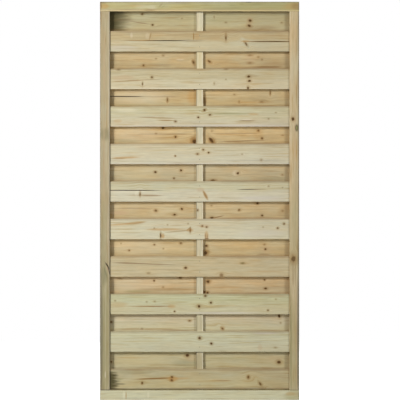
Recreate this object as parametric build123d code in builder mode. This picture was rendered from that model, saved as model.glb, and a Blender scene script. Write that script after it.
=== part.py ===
from build123d import *
import math
import os

# Privacy fence panel: a grooved timber frame round two layers of horizontal slats.
# Lengths are in millimetres. +X runs along the panel, the front faces -Y and +Z is up.
# The origin is at the middle of the panel's bottom face.

# Whole panel
panel_width = 900.0
panel_height = 1800.0

# Frame pieces, grooved along their inner faces
frame_face = 44.0  # width of a frame piece, seen from the front
lip_thickness = 6.8  # wood in front of the groove, and behind it
groove_depth = 12.0
frame_arris = 3.0  # rounding of the long edges

# Slats, alternately on the front and the back of the uprights
slat_width = 93.0
slat_thickness = 8.0
slat_arris = 1.5  # rounding of the long edges
slat_lap = 8.0  # least height by which a front slat covers the next back slat
top_lap = 3.0  # height by which the first front slat covers the first back slat
top_seat = 2.0  # height by which the first slat stands in the top rail's groove
slat_play = 0.2  # from a slat's face to the lip beside it
slat_end_play = 2.0  # from a slat's end to the bottom of the groove
bottom_gap = 3.5  # from the last slat to the bottom rail
strip_width = 26.0  # of the ripped slat that closes the bottom gap from behind

# Uprights between the two layers of slats
batten_width = 30.0
batten_thickness = 14.0
fillet_width = 11.0
upright_top_play = 2.0  # from an upright's top end to the bottom of the groove

# Corner joints, a haunch in the groove and a tenon beyond it
tenon_thickness = 14.0
tenon_width = 18.0
tenon_length = 16.0
joint_play = 0.2  # on each side of a haunch or tenon
mortise_end_play = 1.0

# Square pins
pin_size = 1.8
pin_spacing = 50.0  # between the two pins of a slat at the batten
pin_tip_cover = 2.0  # wood left beyond a pin's tip
corner_pin_size = 3.0
corner_pin_tip_cover = 10.0

# The stack of slat, upright and slat sets the groove, and the groove sets the frame's depth
upright_face = batten_thickness / 2
slat_face = upright_face + slat_thickness
groove_width = 2 * (slat_face + slat_play)
frame_depth = groove_width + 2 * lip_thickness
frame_rounding = min(frame_arris, 0.45 * lip_thickness)
slat_rounding = min(slat_arris, 0.45 * slat_thickness)

# The opening inside the frame, and the floors of the grooves round it
opening_width = panel_width - 2 * frame_face
opening_bottom = frame_face
opening_top = panel_height - frame_face
opening_height = opening_top - opening_bottom
groove_bottom = opening_bottom - groove_depth
groove_top = opening_top + groove_depth
groove_side = opening_width / 2 + groove_depth

# The first slat hangs in the top rail's groove. Below it come as many slats as keep the least lap,
# evenly spread over the rest of the opening.
slat_length = 2 * (groove_side - slat_end_play)
first_height = opening_top + top_seat - slat_width / 2
second_height = first_height - slat_width + top_lap
last_height = opening_bottom + bottom_gap + slat_width / 2
slat_travel = second_height - last_height
slat_steps = math.ceil(slat_travel / (slat_width - slat_lap))
slat_step = slat_travel / slat_steps
slat_heights = [first_height] + [second_height - step * slat_step for step in range(slat_steps + 1)]
back_heights = slat_heights[0::2]
front_heights = slat_heights[1::2]

# Uprights and the bottom strip stand on the floor of the bottom rail's groove
upright_height = groove_top - upright_top_play - groove_bottom
fillet_middle = groove_side - fillet_width / 2
strip_height = groove_bottom + strip_width / 2

# Tenons stand in the middle of the wood that the groove leaves
web_width = frame_face - groove_depth
tenon_middle = panel_width / 2 - web_width / 2

# Pins go through a slat into the upright behind it, two at the batten and one at each fillet.
# The bottom strip has only one at the batten.
pin_grip = batten_thickness - pin_tip_cover
pin_length = slat_thickness + pin_grip
end_pin_place = (groove_side - fillet_width + slat_length / 2) / 2
corner_pin_length = frame_depth - corner_pin_tip_cover
corner_pin_heights = [groove_bottom - tenon_length / 2, groove_top + tenon_length / 2]
corner_pin_places = [(x, z) for x in (-tenon_middle, tenon_middle) for z in corner_pin_heights]

# A layer's sign counts along the normal of the XZ plane, which points to the front
front = 1
back = -1
layers = {front: front_heights, back: back_heights}

# The bottom strip is in the layer that the last slat isn't in
strip_layer = front if len(slat_heights) % 2 else back
layers[strip_layer] = layers[strip_layer] + [strip_height]


def batten_pin_places(heights):
    """Places of the pins that fix slats, or the strip, at these heights to the centre batten."""
    spread = {height: (0,) if height == strip_height else (-1, 1) for height in heights}
    return [(0, height + side * pin_spacing / 2) for height in heights for side in spread[height]]


def end_pin_places(heights, sides):
    """Places of the pins that fix slats, or the strip, at these heights to the fillets on these sides."""
    return [(side * end_pin_place, height) for height in heights for side in sides]


def write(piece, label):
    """Name a finished piece and write its file."""
    piece.label = label
    export_step(piece, f"parts/{label}.step")


def make_rail(label, outer_face, inward):
    """A full-width rail with its groove, and a mortise and a pin hole near each end."""
    middle = outer_face + inward * frame_face / 2
    groove_floor = outer_face + inward * web_width
    groove_middle = groove_floor + inward * groove_depth / 2
    with BuildPart() as rail:
        with BuildSketch(Plane.YZ.offset(-panel_width / 2)):
            with Locations((0, middle)):
                RectangleRounded(frame_depth, frame_face, frame_rounding)
            with Locations((0, groove_middle)):
                Rectangle(groove_width, groove_depth, mode=Mode.SUBTRACT)
        extrude(amount=panel_width)
        with BuildSketch(Plane.XY.offset(groove_floor)):
            with Locations((-tenon_middle, 0), (tenon_middle, 0)):
                Rectangle(tenon_width + 2 * joint_play, tenon_thickness + 2 * joint_play)
        extrude(amount=-inward * (tenon_length + mortise_end_play), mode=Mode.SUBTRACT)
        with BuildSketch(Plane.XZ.offset(back * frame_depth / 2)):
            with Locations(*corner_pin_places):
                Rectangle(corner_pin_size, corner_pin_size)
        extrude(amount=corner_pin_length, mode=Mode.SUBTRACT)
    write(rail.part, label)


def make_stile(label, side):
    """An upright frame piece with its groove, and a haunch and a tenon at both ends."""
    middle = side * (panel_width - frame_face) / 2
    groove_middle = side * (groove_side - groove_depth / 2)
    haunch = groove_depth - joint_play
    with BuildPart() as stile:
        with BuildSketch(Plane.XY.offset(opening_bottom)):
            with Locations((middle, 0)):
                RectangleRounded(frame_face, frame_depth, frame_rounding)
            with Locations((groove_middle, 0)):
                Rectangle(groove_depth, groove_width, mode=Mode.SUBTRACT)
        extrude(amount=opening_height)
        with BuildSketch(Plane.XY.offset(opening_bottom - haunch)):
            with Locations((side * tenon_middle, 0)):
                Rectangle(web_width, groove_width - 2 * joint_play)
        extrude(amount=opening_height + 2 * haunch)
        with BuildSketch(Plane.XY.offset(groove_bottom - tenon_length)):
            with Locations((side * tenon_middle, 0)):
                Rectangle(tenon_width, tenon_thickness)
        extrude(amount=opening_height + 2 * (groove_depth + tenon_length))
        with BuildSketch(Plane.XZ.offset(back * frame_depth / 2)):
            with Locations(*corner_pin_places):
                Rectangle(corner_pin_size, corner_pin_size)
        extrude(amount=corner_pin_length, mode=Mode.SUBTRACT)
    write(stile.part, label)


def make_slat(label, height, layer, width=slat_width):
    """A slat with rounded long edges, and holes for its pins."""
    depth = -layer * (upright_face + slat_thickness / 2)
    with BuildPart() as slat:
        with BuildSketch(Plane.YZ.offset(-slat_length / 2)):
            with Locations((depth, height)):
                RectangleRounded(slat_thickness, width, slat_rounding)
        extrude(amount=slat_length)
        with BuildSketch(Plane.XZ):
            with Locations(*batten_pin_places([height]), *end_pin_places([height], (-1, 1))):
                Rectangle(pin_size, pin_size)
        extrude(amount=layer * slat_face, mode=Mode.SUBTRACT)
    write(slat.part, label)


def make_upright(label, middle, width, pin_places):
    """A square-edged strip between the layers, with blind holes for the pins of both."""
    with BuildPart() as upright:
        with BuildSketch(Plane.XY.offset(groove_bottom)):
            with Locations((middle, 0)):
                Rectangle(width, batten_thickness)
        extrude(amount=upright_height)
        for layer, heights in layers.items():
            with BuildSketch(Plane.XZ.offset(layer * upright_face)):
                with Locations(*pin_places(heights)):
                    Rectangle(pin_size, pin_size)
            extrude(amount=-layer * pin_grip, mode=Mode.SUBTRACT)
    write(upright.part, label)


def make_slat_pins(label, layer):
    """The pins of one layer of slats, flush with the slats' outer faces."""
    heights = layers[layer]
    with BuildPart() as pins:
        with BuildSketch(Plane.XZ.offset(layer * slat_face)):
            with Locations(*batten_pin_places(heights), *end_pin_places(heights, (-1, 1))):
                Rectangle(pin_size, pin_size)
        extrude(amount=-layer * pin_length)
    write(pins.part, label)


def make_corner_pins(label):
    """One pin through each corner joint, flush with the frame's back."""
    with BuildPart() as pins:
        with BuildSketch(Plane.XZ.offset(back * frame_depth / 2)):
            with Locations(*corner_pin_places):
                Rectangle(corner_pin_size, corner_pin_size)
        extrude(amount=corner_pin_length)
    write(pins.part, label)


os.makedirs("parts", exist_ok=True)
make_rail("top_rail", panel_height, -1)
make_rail("bottom_rail", 0, 1)
make_stile("left_stile", -1)
make_stile("right_stile", 1)
for number, height in enumerate(front_heights, start=1):
    make_slat(f"front_slat_{number:02d}", height, front)
for number, height in enumerate(back_heights, start=1):
    make_slat(f"back_slat_{number:02d}", height, back)
make_slat("bottom_strip", strip_height, strip_layer, strip_width)
make_upright("centre_batten", 0, batten_width, batten_pin_places)
make_upright("left_fillet", -fillet_middle, fillet_width, lambda heights: end_pin_places(heights, (-1,)))
make_upright("right_fillet", fillet_middle, fillet_width, lambda heights: end_pin_places(heights, (1,)))
make_slat_pins("front_slat_pins", front)
make_slat_pins("back_slat_pins", back)
make_corner_pins("corner_pins")
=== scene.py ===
"""Looks of the privacy fence panel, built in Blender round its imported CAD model.

Boards keep their CAD solids, each with its own planed softwood finish. Boards with a split, a
waney edge or a bark pocket are copies of their solids with that form cut in, and round-headed nails
stand for the plain pins of the slats. Metres throughout, except for marks on a board, which are in
millimetres along and across the face.
"""
import logging
import math
from collections.abc import Callable
from dataclasses import dataclass, replace
from enum import Enum
from typing import ClassVar

import bmesh
import bpy
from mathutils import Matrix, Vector


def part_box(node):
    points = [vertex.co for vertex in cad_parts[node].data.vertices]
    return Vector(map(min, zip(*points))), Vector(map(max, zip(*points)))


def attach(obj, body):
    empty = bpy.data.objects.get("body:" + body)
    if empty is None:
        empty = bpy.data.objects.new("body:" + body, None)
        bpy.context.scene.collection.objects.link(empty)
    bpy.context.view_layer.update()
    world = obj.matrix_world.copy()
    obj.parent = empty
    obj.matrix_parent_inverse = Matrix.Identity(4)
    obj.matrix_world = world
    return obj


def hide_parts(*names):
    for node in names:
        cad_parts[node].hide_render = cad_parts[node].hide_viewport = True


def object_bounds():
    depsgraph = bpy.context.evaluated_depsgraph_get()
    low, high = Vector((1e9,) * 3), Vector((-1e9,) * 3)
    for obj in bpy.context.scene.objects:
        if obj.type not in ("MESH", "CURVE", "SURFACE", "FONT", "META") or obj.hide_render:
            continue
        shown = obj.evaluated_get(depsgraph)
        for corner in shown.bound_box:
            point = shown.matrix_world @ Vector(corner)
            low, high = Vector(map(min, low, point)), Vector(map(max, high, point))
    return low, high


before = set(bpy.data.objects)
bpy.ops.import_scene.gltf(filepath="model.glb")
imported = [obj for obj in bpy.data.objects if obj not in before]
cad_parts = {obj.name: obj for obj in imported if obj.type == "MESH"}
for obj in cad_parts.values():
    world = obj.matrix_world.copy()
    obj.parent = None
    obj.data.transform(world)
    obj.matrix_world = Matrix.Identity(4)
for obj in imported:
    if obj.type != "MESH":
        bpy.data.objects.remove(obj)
CAD_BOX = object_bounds()

LOG = logging.getLogger("fence_panel")
BODY = "root"
MM = 0.001
PER_METRE = 1000.0

SCREEN_WHITE = 255
SCREEN_TOE = 0.04045  # share of white below which the screen's curve is a straight line
TOE_SLOPE = 12.92
CURVE_LIFT = 0.055
CURVE_POWER = 2.4
NOISE_MIDDLE = 0.5

Colour = tuple[float, float, float, float]
Socket = bpy.types.NodeSocket
Feed = Socket | float | int | tuple[float, ...]
Noise = tuple[tuple[float, float, float], float]  # the stretch and detail of NodeSheet.noise

WHITE: Colour = (1.0, 1.0, 1.0, 1.0)


def paint(red: int, green: int, blue: int) -> Colour:
    """Turn a colour as a screen shows it into linear light.

    Args:
        red: Red from 0 to 255.
        green: Green from 0 to 255.
        blue: Blue from 0 to 255.

    Returns:
        The linear colour, opaque.
    """
    def linear(part: int) -> float:
        """Undo the screen's curve for one part."""
        share = part / SCREEN_WHITE
        if share <= SCREEN_TOE:
            return share / TOE_SLOPE
        return ((share + CURVE_LIFT) / (1 + CURVE_LIFT)) ** CURVE_POWER

    return (linear(red), linear(green), linear(blue), 1.0)


class GrainWay(Enum):
    """Which way a board's grain runs in the panel."""

    LEVEL = "along the panel"
    UPRIGHT = "up the panel"


class KnotKind(Enum):
    """How strongly a knot shows, as the darkness of its core and of the wood round it."""

    RED = (0.72, 0.55)
    DARK = (0.95, 0.50)
    FAINT = (0.30, 0.35)


class StreakTint(Enum):
    """Colours of the marks that run with the grain."""

    RESIN = paint(152, 117, 62)
    BROWN = paint(128, 96, 58)
    HEART = paint(178, 142, 86)
    ROSE = paint(192, 163, 126)
    LILAC = paint(208, 200, 188)
    GREY = paint(160, 154, 138)
    PALE = paint(232, 224, 198)
    OLIVE = paint(142, 138, 86)
    GREY_GREEN = paint(112, 112, 78)
    ALGAE = paint(72, 65, 30)
    # Dark brown, for dark marks, and for painted shade and shadows
    DARK_BROWN = paint(50, 37, 20)
    # Dark grey that makes the frame's outer edges and ends darker
    DARK_GREY = paint(92, 88, 76)
    HONEY = paint(186, 140, 72)
    STRAW = paint(224, 204, 150)


HALO_TINT = paint(200, 168, 114)
CORE_TINT = paint(80, 50, 6)
END_SHADE_TINT = paint(150, 138, 108)
LATE_TINT = paint(226, 208, 172)
LINE_TINT = paint(220, 198, 156)


@dataclass(frozen=True)
class Knot:
    """A knot that goes through a board.

    Attributes:
        along: Place along the grain from the panel's middle, in mm.
        across: Place across the face from the board's middle, in mm.
        length: Size along the grain, in mm.
        height: Size across the grain, in mm.
        kind: How strongly it shows.
        turn: Tilt on the face, in radians.
    """

    along: float
    across: float
    length: float = 10.0
    height: float = 9.0
    kind: KnotKind = KnotKind.RED
    turn: float = 0.0


@dataclass(frozen=True)
class Streak:
    """A soft-edged mark on a board: a resin streak, staining, a patch of another tone, painted shade or
    shadow, or a painted highlight.

    Attributes:
        along: Place of its middle along the grain from the panel's middle, in mm.
        across: Place of its middle across the face from the board's middle, in mm.
        length: Size along the grain, in mm.
        height: Size across the grain, in mm.
        tint: Its colour.
        strength: How much of its colour shows in the middle, from 0 to 1.
        turn: Tilt on the face, in radians.
        fray: How far the grain breaks up its edge.
    """

    along: float
    across: float
    length: float
    height: float
    tint: StreakTint
    strength: float = 0.5
    turn: float = 0.0
    fray: float = 0.5


@dataclass(frozen=True)
class Arris:
    """Colour along one long edge of a board: some are painted shadows and painted highlights, some darker
    tones.

    Attributes:
        across: Place of the edge across the face from the board's middle, in mm.
        depth: Place of the edge behind the board's middle, in mm.
        reach: How far from the edge it shows, in mm.
        tint: Its colour.
        strength: How much of its colour shows on the edge, from 0 to 1.
    """

    across: float
    depth: float
    reach: float
    tint: StreakTint
    strength: float


class NodeSheet:
    """Adds nodes to one node tree and wires them."""

    def __init__(self, tree: bpy.types.NodeTree) -> None:
        """Keep the tree that nodes go into."""
        self.tree = tree

    def add(self, kind: str, **settings: object) -> bpy.types.Node:
        """Add a node.

        Args:
            kind: Blender's name for the kind of node.
            **settings: Values for the node's own properties.

        Returns:
            The new node.
        """
        node = self.tree.nodes.new(kind)
        for name, value in settings.items():
            setattr(node, name, value)
        return node

    def feed(self, socket: Socket, value: Feed) -> None:
        """Wire a socket into another, or set its value."""
        if isinstance(value, bpy.types.NodeSocket):
            self.tree.links.new(value, socket)
        else:
            socket.default_value = value

    def math(self, operation: str, *values: Feed, clamp: bool = False) -> Socket:
        """Work out a number from up to three others.

        Args:
            operation: Blender's name for the operation.
            *values: Numbers, or sockets that give them.
            clamp: Keep the result from 0 to 1.

        Returns:
            The socket that gives the result.
        """
        node = self.add("ShaderNodeMath", operation=operation, use_clamp=clamp)
        for socket, value in zip(node.inputs, values):
            self.feed(socket, value)
        return node.outputs[0]

    def vector(self, operation: str, *values: Feed) -> Socket:
        """Work out a vector from up to three others.

        Args:
            operation: Blender's name for the operation.
            *values: Vectors, or sockets that give them.

        Returns:
            The socket that gives the result.
        """
        node = self.add("ShaderNodeVectorMath", operation=operation)
        for socket, value in zip(node.inputs, values):
            self.feed(socket, value)
        return node.outputs[0]

    def join(self, first: Feed, second: Feed, third: Feed) -> Socket:
        """Make a vector of three numbers."""
        node = self.add("ShaderNodeCombineXYZ")
        for socket, value in zip(node.inputs, (first, second, third)):
            self.feed(socket, value)
        return node.outputs[0]

    def split(self, vector: Feed) -> tuple[Socket, Socket, Socket]:
        """Take a vector apart into its three numbers."""
        node = self.add("ShaderNodeSeparateXYZ")
        self.feed(node.inputs[0], vector)
        return node.outputs[0], node.outputs[1], node.outputs[2]

    def noise(self, place: Feed, stretch: tuple[float, float, float], detail: float) -> Socket:
        """Smooth noise, stretched with the grain.

        Args:
            place: Place on the board as along, across and depth, in mm.
            stretch: Features per mm in those three directions.
            detail: How many finer layers it has.

        Returns:
            The socket that gives the noise, from 0 to 1.
        """
        node = self.add("ShaderNodeTexNoise", noise_dimensions="3D")
        self.feed(node.inputs["Vector"], self.vector("MULTIPLY", place, stretch))
        node.inputs["Scale"].default_value = 1.0
        node.inputs["Detail"].default_value = detail
        return node.outputs[0]

    def swing(self, noise: Feed) -> Socket:
        """Shift noise so that its middle is at 0."""
        return self.math("SUBTRACT", noise, NOISE_MIDDLE)

    def ease(self, value: Feed, start: Feed, end: Feed) -> Socket:
        """Go smoothly from 0 to 1 as a value goes from start to end."""
        node = self.add("ShaderNodeMapRange", interpolation_type="SMOOTHSTEP")
        for socket, given in zip(node.inputs, (value, start, end)):
            self.feed(socket, given)
        return node.outputs[0]

    def blend(self, share: Feed, first: Feed, second: Feed, mode: str = "MIX") -> Socket:
        """Mix two colours.

        Args:
            share: How much of the second shows, from 0 to 1.
            first: The colour underneath.
            second: The colour on top.
            mode: Blender's name for the way they mix.

        Returns:
            The socket that gives the mixed colour.
        """
        node = self.add("ShaderNodeMix", data_type="RGBA", blend_type=mode)
        self.feed(node.inputs[0], share)
        self.feed(node.inputs[6], first)
        self.feed(node.inputs[7], second)
        return node.outputs[2]

    def group(self, tree: bpy.types.NodeTree, **values: Feed) -> bpy.types.Node:
        """Add a node group.

        Args:
            tree: The group's own tree.
            **values: What goes into its sockets, by name.

        Returns:
            The new group node.
        """
        node = self.add("ShaderNodeGroup", node_tree=tree)
        for name, value in values.items():
            self.feed(node.inputs[name], value)
        return node


class GroupSheet(NodeSheet):
    """A node group in the making."""

    def __init__(self, name: str, takes: dict[str, str], gives: tuple[str, ...]) -> None:
        """Start the group.

        Args:
            name: The group's name.
            takes: Names of its inputs, with "Float" or "Vector" for each.
            gives: Names of its outputs, which are all numbers.
        """
        tree = bpy.data.node_groups.new(name, "ShaderNodeTree")
        for socket, kind in takes.items():
            tree.interface.new_socket(socket, in_out="INPUT", socket_type="NodeSocket" + kind)
        for socket in gives:
            tree.interface.new_socket(socket, in_out="OUTPUT", socket_type="NodeSocketFloat")
        super().__init__(tree)
        self.takes = self.add("NodeGroupInput").outputs
        self.gives = self.add("NodeGroupOutput").inputs


class WoodGroups:
    """The node groups that all boards share."""

    oval_takes = {
        "place": "Vector", "along": "Float", "across": "Float",
        "half_length": "Float", "half_height": "Float", "turn": "Float",
    }

    # Distances, as shares of an oval's half size, where it is full and where it ends
    knot_fade = (0.55, 1.15)
    halo_fade = (0.7, 2.6)
    streak_fade = (0.4, 1.1)

    # How much longer and higher than a knot the bend of the grain round it is
    grain_flow = (2.6, 1.5)

    # Features per mm along, across and into the board, and how many finer layers they have
    sway_noise: Noise = ((0.0045, 0.012, 0.01), 2.0)
    line_noise: Noise = ((0.0058, 0.14, 0.09), 3.0)
    noises: dict[str, Noise] = {
        "fibre": ((0.02, 0.4, 0.4), 4.0),
        "band": ((0.0062, 0.085, 0.05), 4.0),
        "patch": ((0.0085, 0.026, 0.02), 3.0),
        "fleck": ((0.034, 0.2, 0.2), 3.0),
    }

    # Shift of the thin lines against the other noise, in mm, and the noise where they begin and are full
    line_offset = (370.0, 910.0, 130.0)
    line_reach = (0.55, 0.72)

    # Shares of a year's growth where latewood begins and is full, and where it ends and is still full
    late_rise = (0.25, 0.85)
    late_fall = (1.0, 0.9)

    # How much latewood varies from year to year, and its least
    year_play = (0.6, 0.4)

    def __init__(self) -> None:
        """Make the groups, each from those before it."""
        self.oval = self.make_oval()
        self.knot = self.make_knot()
        self.streak = self.make_streak()
        self.grain = self.make_grain()

    def make_oval(self) -> bpy.types.NodeTree:
        """Distance from the middle of a tilted oval, 1 at its edge.

        Returns:
            The group's tree.
        """
        sheet = GroupSheet("oval_distance", self.oval_takes, ("distance", "rise"))
        along, across, _ = sheet.split(sheet.takes["place"])
        run = sheet.math("SUBTRACT", along, sheet.takes["along"])
        rise = sheet.math("SUBTRACT", across, sheet.takes["across"])
        cosine = sheet.math("COSINE", sheet.takes["turn"])
        sine = sheet.math("SINE", sheet.takes["turn"])
        level = sheet.math("MULTIPLY_ADD", run, cosine, sheet.math("MULTIPLY", rise, sine))
        upright = sheet.math("MULTIPLY", rise, cosine)
        upright = sheet.math("SUBTRACT", upright, sheet.math("MULTIPLY", run, sine))
        level = sheet.math("DIVIDE", level, sheet.takes["half_length"])
        upright = sheet.math("DIVIDE", upright, sheet.takes["half_height"])
        square = sheet.math("MULTIPLY_ADD", level, level, sheet.math("MULTIPLY", upright, upright))
        sheet.feed(sheet.gives["distance"], sheet.math("SQRT", square))
        sheet.feed(sheet.gives["rise"], rise)
        return sheet.tree

    def make_knot(self) -> bpy.types.NodeTree:
        """One knot, added to those before it: its dark core, the tinted wood round it and the bent grain.

        Returns:
            The group's tree.
        """
        own = ("core_strength", "halo_strength", "rough", "core", "halo", "bend")
        takes = self.oval_takes | dict.fromkeys(own, "Float")
        sheet = GroupSheet("knot", takes, ("core", "halo", "bend"))
        oval = {name: sheet.takes[name] for name in ("place", "along", "across", "turn")}
        halves = {name: sheet.takes[name] for name in ("half_length", "half_height")}
        near = sheet.group(self.oval, **oval, **halves)
        distance = sheet.math("ADD", near.outputs["distance"], sheet.takes["rough"])
        core = sheet.ease(distance, *reversed(self.knot_fade))
        core = sheet.math("MULTIPLY", core, sheet.takes["core_strength"])
        halo = sheet.ease(distance, *reversed(self.halo_fade))
        halo = sheet.math("MULTIPLY", halo, sheet.takes["halo_strength"])
        wide = {
            name: sheet.math("MULTIPLY", halves[name], stretch)
            for name, stretch in zip(halves, self.grain_flow)
        }
        far = sheet.group(self.oval, **oval, **wide)
        square = sheet.math("POWER", sheet.math("MAXIMUM", far.outputs["distance"], 1.0), 2.0)
        push = sheet.math("DIVIDE", far.outputs["rise"], square)
        sheet.feed(sheet.gives["core"], sheet.math("MAXIMUM", core, sheet.takes["core"]))
        sheet.feed(sheet.gives["halo"], sheet.math("MAXIMUM", halo, sheet.takes["halo"]))
        sheet.feed(sheet.gives["bend"], sheet.math("SUBTRACT", sheet.takes["bend"], push))
        return sheet.tree

    def make_streak(self) -> bpy.types.NodeTree:
        """How much of a streak shows at a place.

        Returns:
            The group's tree.
        """
        takes = self.oval_takes | dict.fromkeys(("strength", "ragged"), "Float")
        sheet = GroupSheet("streak", takes, ("share",))
        near = sheet.group(self.oval, **{name: sheet.takes[name] for name in self.oval_takes})
        distance = sheet.math("ADD", near.outputs["distance"], sheet.takes["ragged"])
        share = sheet.ease(distance, *reversed(self.streak_fade))
        sheet.feed(sheet.gives["share"], sheet.math("MULTIPLY", share, sheet.takes["strength"]))
        return sheet.tree

    def make_grain(self) -> bpy.types.NodeTree:
        """Growth rings round the pith, and the finer and broader variation along the grain.

        Returns:
            The group's tree.
        """
        takes = {"place": "Vector", "seed": "Vector", "ring_width": "Float"}
        takes |= {"pith_across": "Float", "pith_depth": "Float", "wander": "Float"}
        sheet = GroupSheet("grain", takes, ("late", *self.noises, "line"))
        _, across, depth = sheet.split(sheet.takes["place"])
        shifted = sheet.vector("ADD", sheet.takes["place"], sheet.takes["seed"])
        sway = sheet.swing(sheet.noise(shifted, *self.sway_noise))
        sway = sheet.math("MULTIPLY", sway, sheet.takes["wander"])
        level = sheet.math("SUBTRACT", sheet.math("ADD", across, sway), sheet.takes["pith_across"])
        inward = sheet.math("SUBTRACT", depth, sheet.takes["pith_depth"])
        square = sheet.math("MULTIPLY_ADD", level, level, sheet.math("MULTIPLY", inward, inward))
        radius = sheet.math("DIVIDE", sheet.math("SQRT", square), sheet.takes["ring_width"])
        share = sheet.math("FRACT", radius)
        late = sheet.ease(share, *self.late_rise)
        late = sheet.math("MULTIPLY", late, sheet.ease(share, *self.late_fall))
        year = sheet.add("ShaderNodeTexWhiteNoise", noise_dimensions="1D")
        sheet.feed(year.inputs["W"], sheet.math("FLOOR", radius))
        strength = sheet.math("MULTIPLY_ADD", year.outputs["Value"], *self.year_play)
        sheet.feed(sheet.gives["late"], sheet.math("MULTIPLY", late, strength))
        for name, noise in self.noises.items():
            sheet.feed(sheet.gives[name], sheet.noise(shifted, *noise))
        thin = sheet.noise(sheet.vector("ADD", shifted, self.line_offset), *self.line_noise)
        sheet.feed(sheet.gives["line"], sheet.ease(thin, *self.line_reach))
        return sheet.tree


@dataclass(frozen=True)
class Timber:
    """Finish of one planed, pressure-treated softwood board.

    Attributes:
        lower: Colour of the wood along the lower edge, or the left edge of an upright; on most back slats
            it also holds painted shade.
        upper: Colour of the wood along the other edge.
        seed: Number that gives this board its own grain.
        edge: Height across the face where the two colours meet, in mm from the middle.
        edge_softness: Half the height over which they change, in mm.
        ring_width: Thickness of a year's growth, in mm.
        pith_across: Place of the tree's middle across the face, in mm from the board's middle.
        pith_depth: Place of the tree's middle behind the face, in mm from the board's middle.
        wander: How far the rings sway along the board, in mm.
        ring_contrast: How much darker latewood is, from 0 to 1.
        band_contrast: How much broad streaks vary in brightness.
        line_contrast: How strongly thin dark lines show, from 0 to 1.
        hue_play: How much patches turn to green and to pink.
        end_shade: How much painted shade darkens the left and the right end, beside the stiles, from 0 to
            1.
        knots: Its knots.
        streaks: Its streaks, which go through the wood.
        stains_and_shade: Marks on its front face alone: staining, and on the slats painted shade and
            shadows.
        arrises: Colour along its long edges, with painted shadows and painted highlights among it.
    """

    lower: Colour
    upper: Colour
    seed: int
    edge: float = 0.0
    edge_softness: float = 30.0
    ring_width: float = 4.2
    pith_across: float = 62.0
    pith_depth: float = 52.0
    wander: float = 16.0
    ring_contrast: float = 0.4
    band_contrast: float = 0.34
    line_contrast: float = 0.5
    hue_play: float = 0.035
    end_shade: tuple[float, float] = (0.0, 0.0)
    knots: tuple[Knot, ...] = ()
    streaks: tuple[Streak, ...] = ()
    stains_and_shade: tuple[Streak, ...] = ()
    arrises: tuple[Arris, ...] = ()

    # Shift of the grain for each step of the seed, in mm along, across and into the board
    seed_step = (6100.0, 430.0, 290.0)

    # Unevenness of a knot's edge, as features per mm and finer layers
    rough_noise: ClassVar[Noise] = ((0.11, 0.16, 0.12), 2.0)

    # Distances from the panel's middle where the painted end shade begins and is full, in mm
    end_reach = (372.0, 408.0)

    # Depths from the board's middle where staining and painted shade on the front face end and are full, in
    # mm
    stain_and_shade_reach = (1.5, -2.0)

    # How far patches break up an edge's colour, in mm, and the share of its reach where it is full
    arris_fray = 5.0
    arris_core = 0.35

    # How far broad streaks shift the line where the two colours meet, in mm
    edge_sway = 40.0

    # How much fine streaks and flecks vary in brightness
    fibre_contrast = 0.2
    fleck_contrast = 0.2

    # How much patches vary in saturation, and the setting that leaves a hue as it is
    patch_fade = -0.5
    plain_hue = 0.5

    # Sheen, and the relief of latewood and knots against that of the fibres
    specular = 0.25
    roughness_range = (0.52, 0.74)
    late_relief = 0.6
    knot_relief = 0.4
    bump_strength = 0.45
    bump_height = 0.35 * MM

    def material(self, name: str, way: GrainWay, middle: Vector, groups: WoodGroups) -> bpy.types.Material:
        """Make this board's material.

        Args:
            name: The material's name.
            way: Which way the grain runs.
            middle: Middle of the board's box.
            groups: The shared node groups.

        Returns:
            The new material.
        """
        made = bpy.data.materials.new(name)
        made.use_nodes = True
        made.node_tree.nodes.clear()
        sheet = NodeSheet(made.node_tree)
        place = self.board_place(sheet, way, middle)
        rough = sheet.swing(sheet.noise(place, *self.rough_noise))
        core, halo, bend = self.add_knots(sheet, groups, place, rough)
        bent = sheet.vector("ADD", place, sheet.join(0.0, bend, 0.0))
        grain = sheet.group(
            groups.grain,
            place=bent,
            seed=tuple(self.seed * step for step in self.seed_step),
            ring_width=self.ring_width,
            pith_across=self.pith_across,
            pith_depth=self.pith_depth,
            wander=self.wander,
        ).outputs
        colour = self.face_colour(sheet, bent, grain)
        colour = self.add_streaks(sheet, groups, place, grain, colour)
        colour = self.add_arrises(sheet, place, grain, colour)
        colour = sheet.blend(halo, colour, HALO_TINT, "MULTIPLY")
        colour = sheet.blend(core, colour, CORE_TINT)
        self.add_surface(sheet, colour, grain, core)
        return made

    def board_place(self, sheet: NodeSheet, way: GrainWay, middle: Vector) -> Socket:
        """Place on the board as along, across and depth, in mm.

        Args:
            sheet: The material's nodes.
            way: Which way the grain runs.
            middle: Middle of the board's box.

        Returns:
            The socket that gives the place.
        """
        coordinates = sheet.add("ShaderNodeTexCoord").outputs["Object"]
        scale = (PER_METRE,) * 3
        offset = tuple(-PER_METRE * part for part in middle)
        x, y, z = sheet.split(sheet.vector("MULTIPLY_ADD", coordinates, scale, offset))
        return sheet.join(x, z, y) if way is GrainWay.LEVEL else sheet.join(z, x, y)

    def add_knots(
        self, sheet: NodeSheet, groups: WoodGroups, place: Socket, rough: Socket
    ) -> tuple[Feed, Feed, Feed]:
        """Chain this board's knots.

        Args:
            sheet: The material's nodes.
            groups: The shared node groups.
            place: Place on the board.
            rough: Unevenness of a knot's edge.

        Returns:
            Darkness of the cores, tint of the wood round them, and how far the grain bends.
        """
        core: Feed = 0.0
        halo: Feed = 0.0
        bend: Feed = 0.0
        for knot in self.knots:
            core_strength, halo_strength = knot.kind.value
            made = sheet.group(
                groups.knot,
                place=place,
                along=knot.along,
                across=knot.across,
                half_length=knot.length / 2,
                half_height=knot.height / 2,
                turn=knot.turn,
                core_strength=core_strength,
                halo_strength=halo_strength,
                rough=rough,
                core=core,
                halo=halo,
                bend=bend,
            ).outputs
            core, halo, bend = made["core"], made["halo"], made["bend"]
        return core, halo, bend

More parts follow.
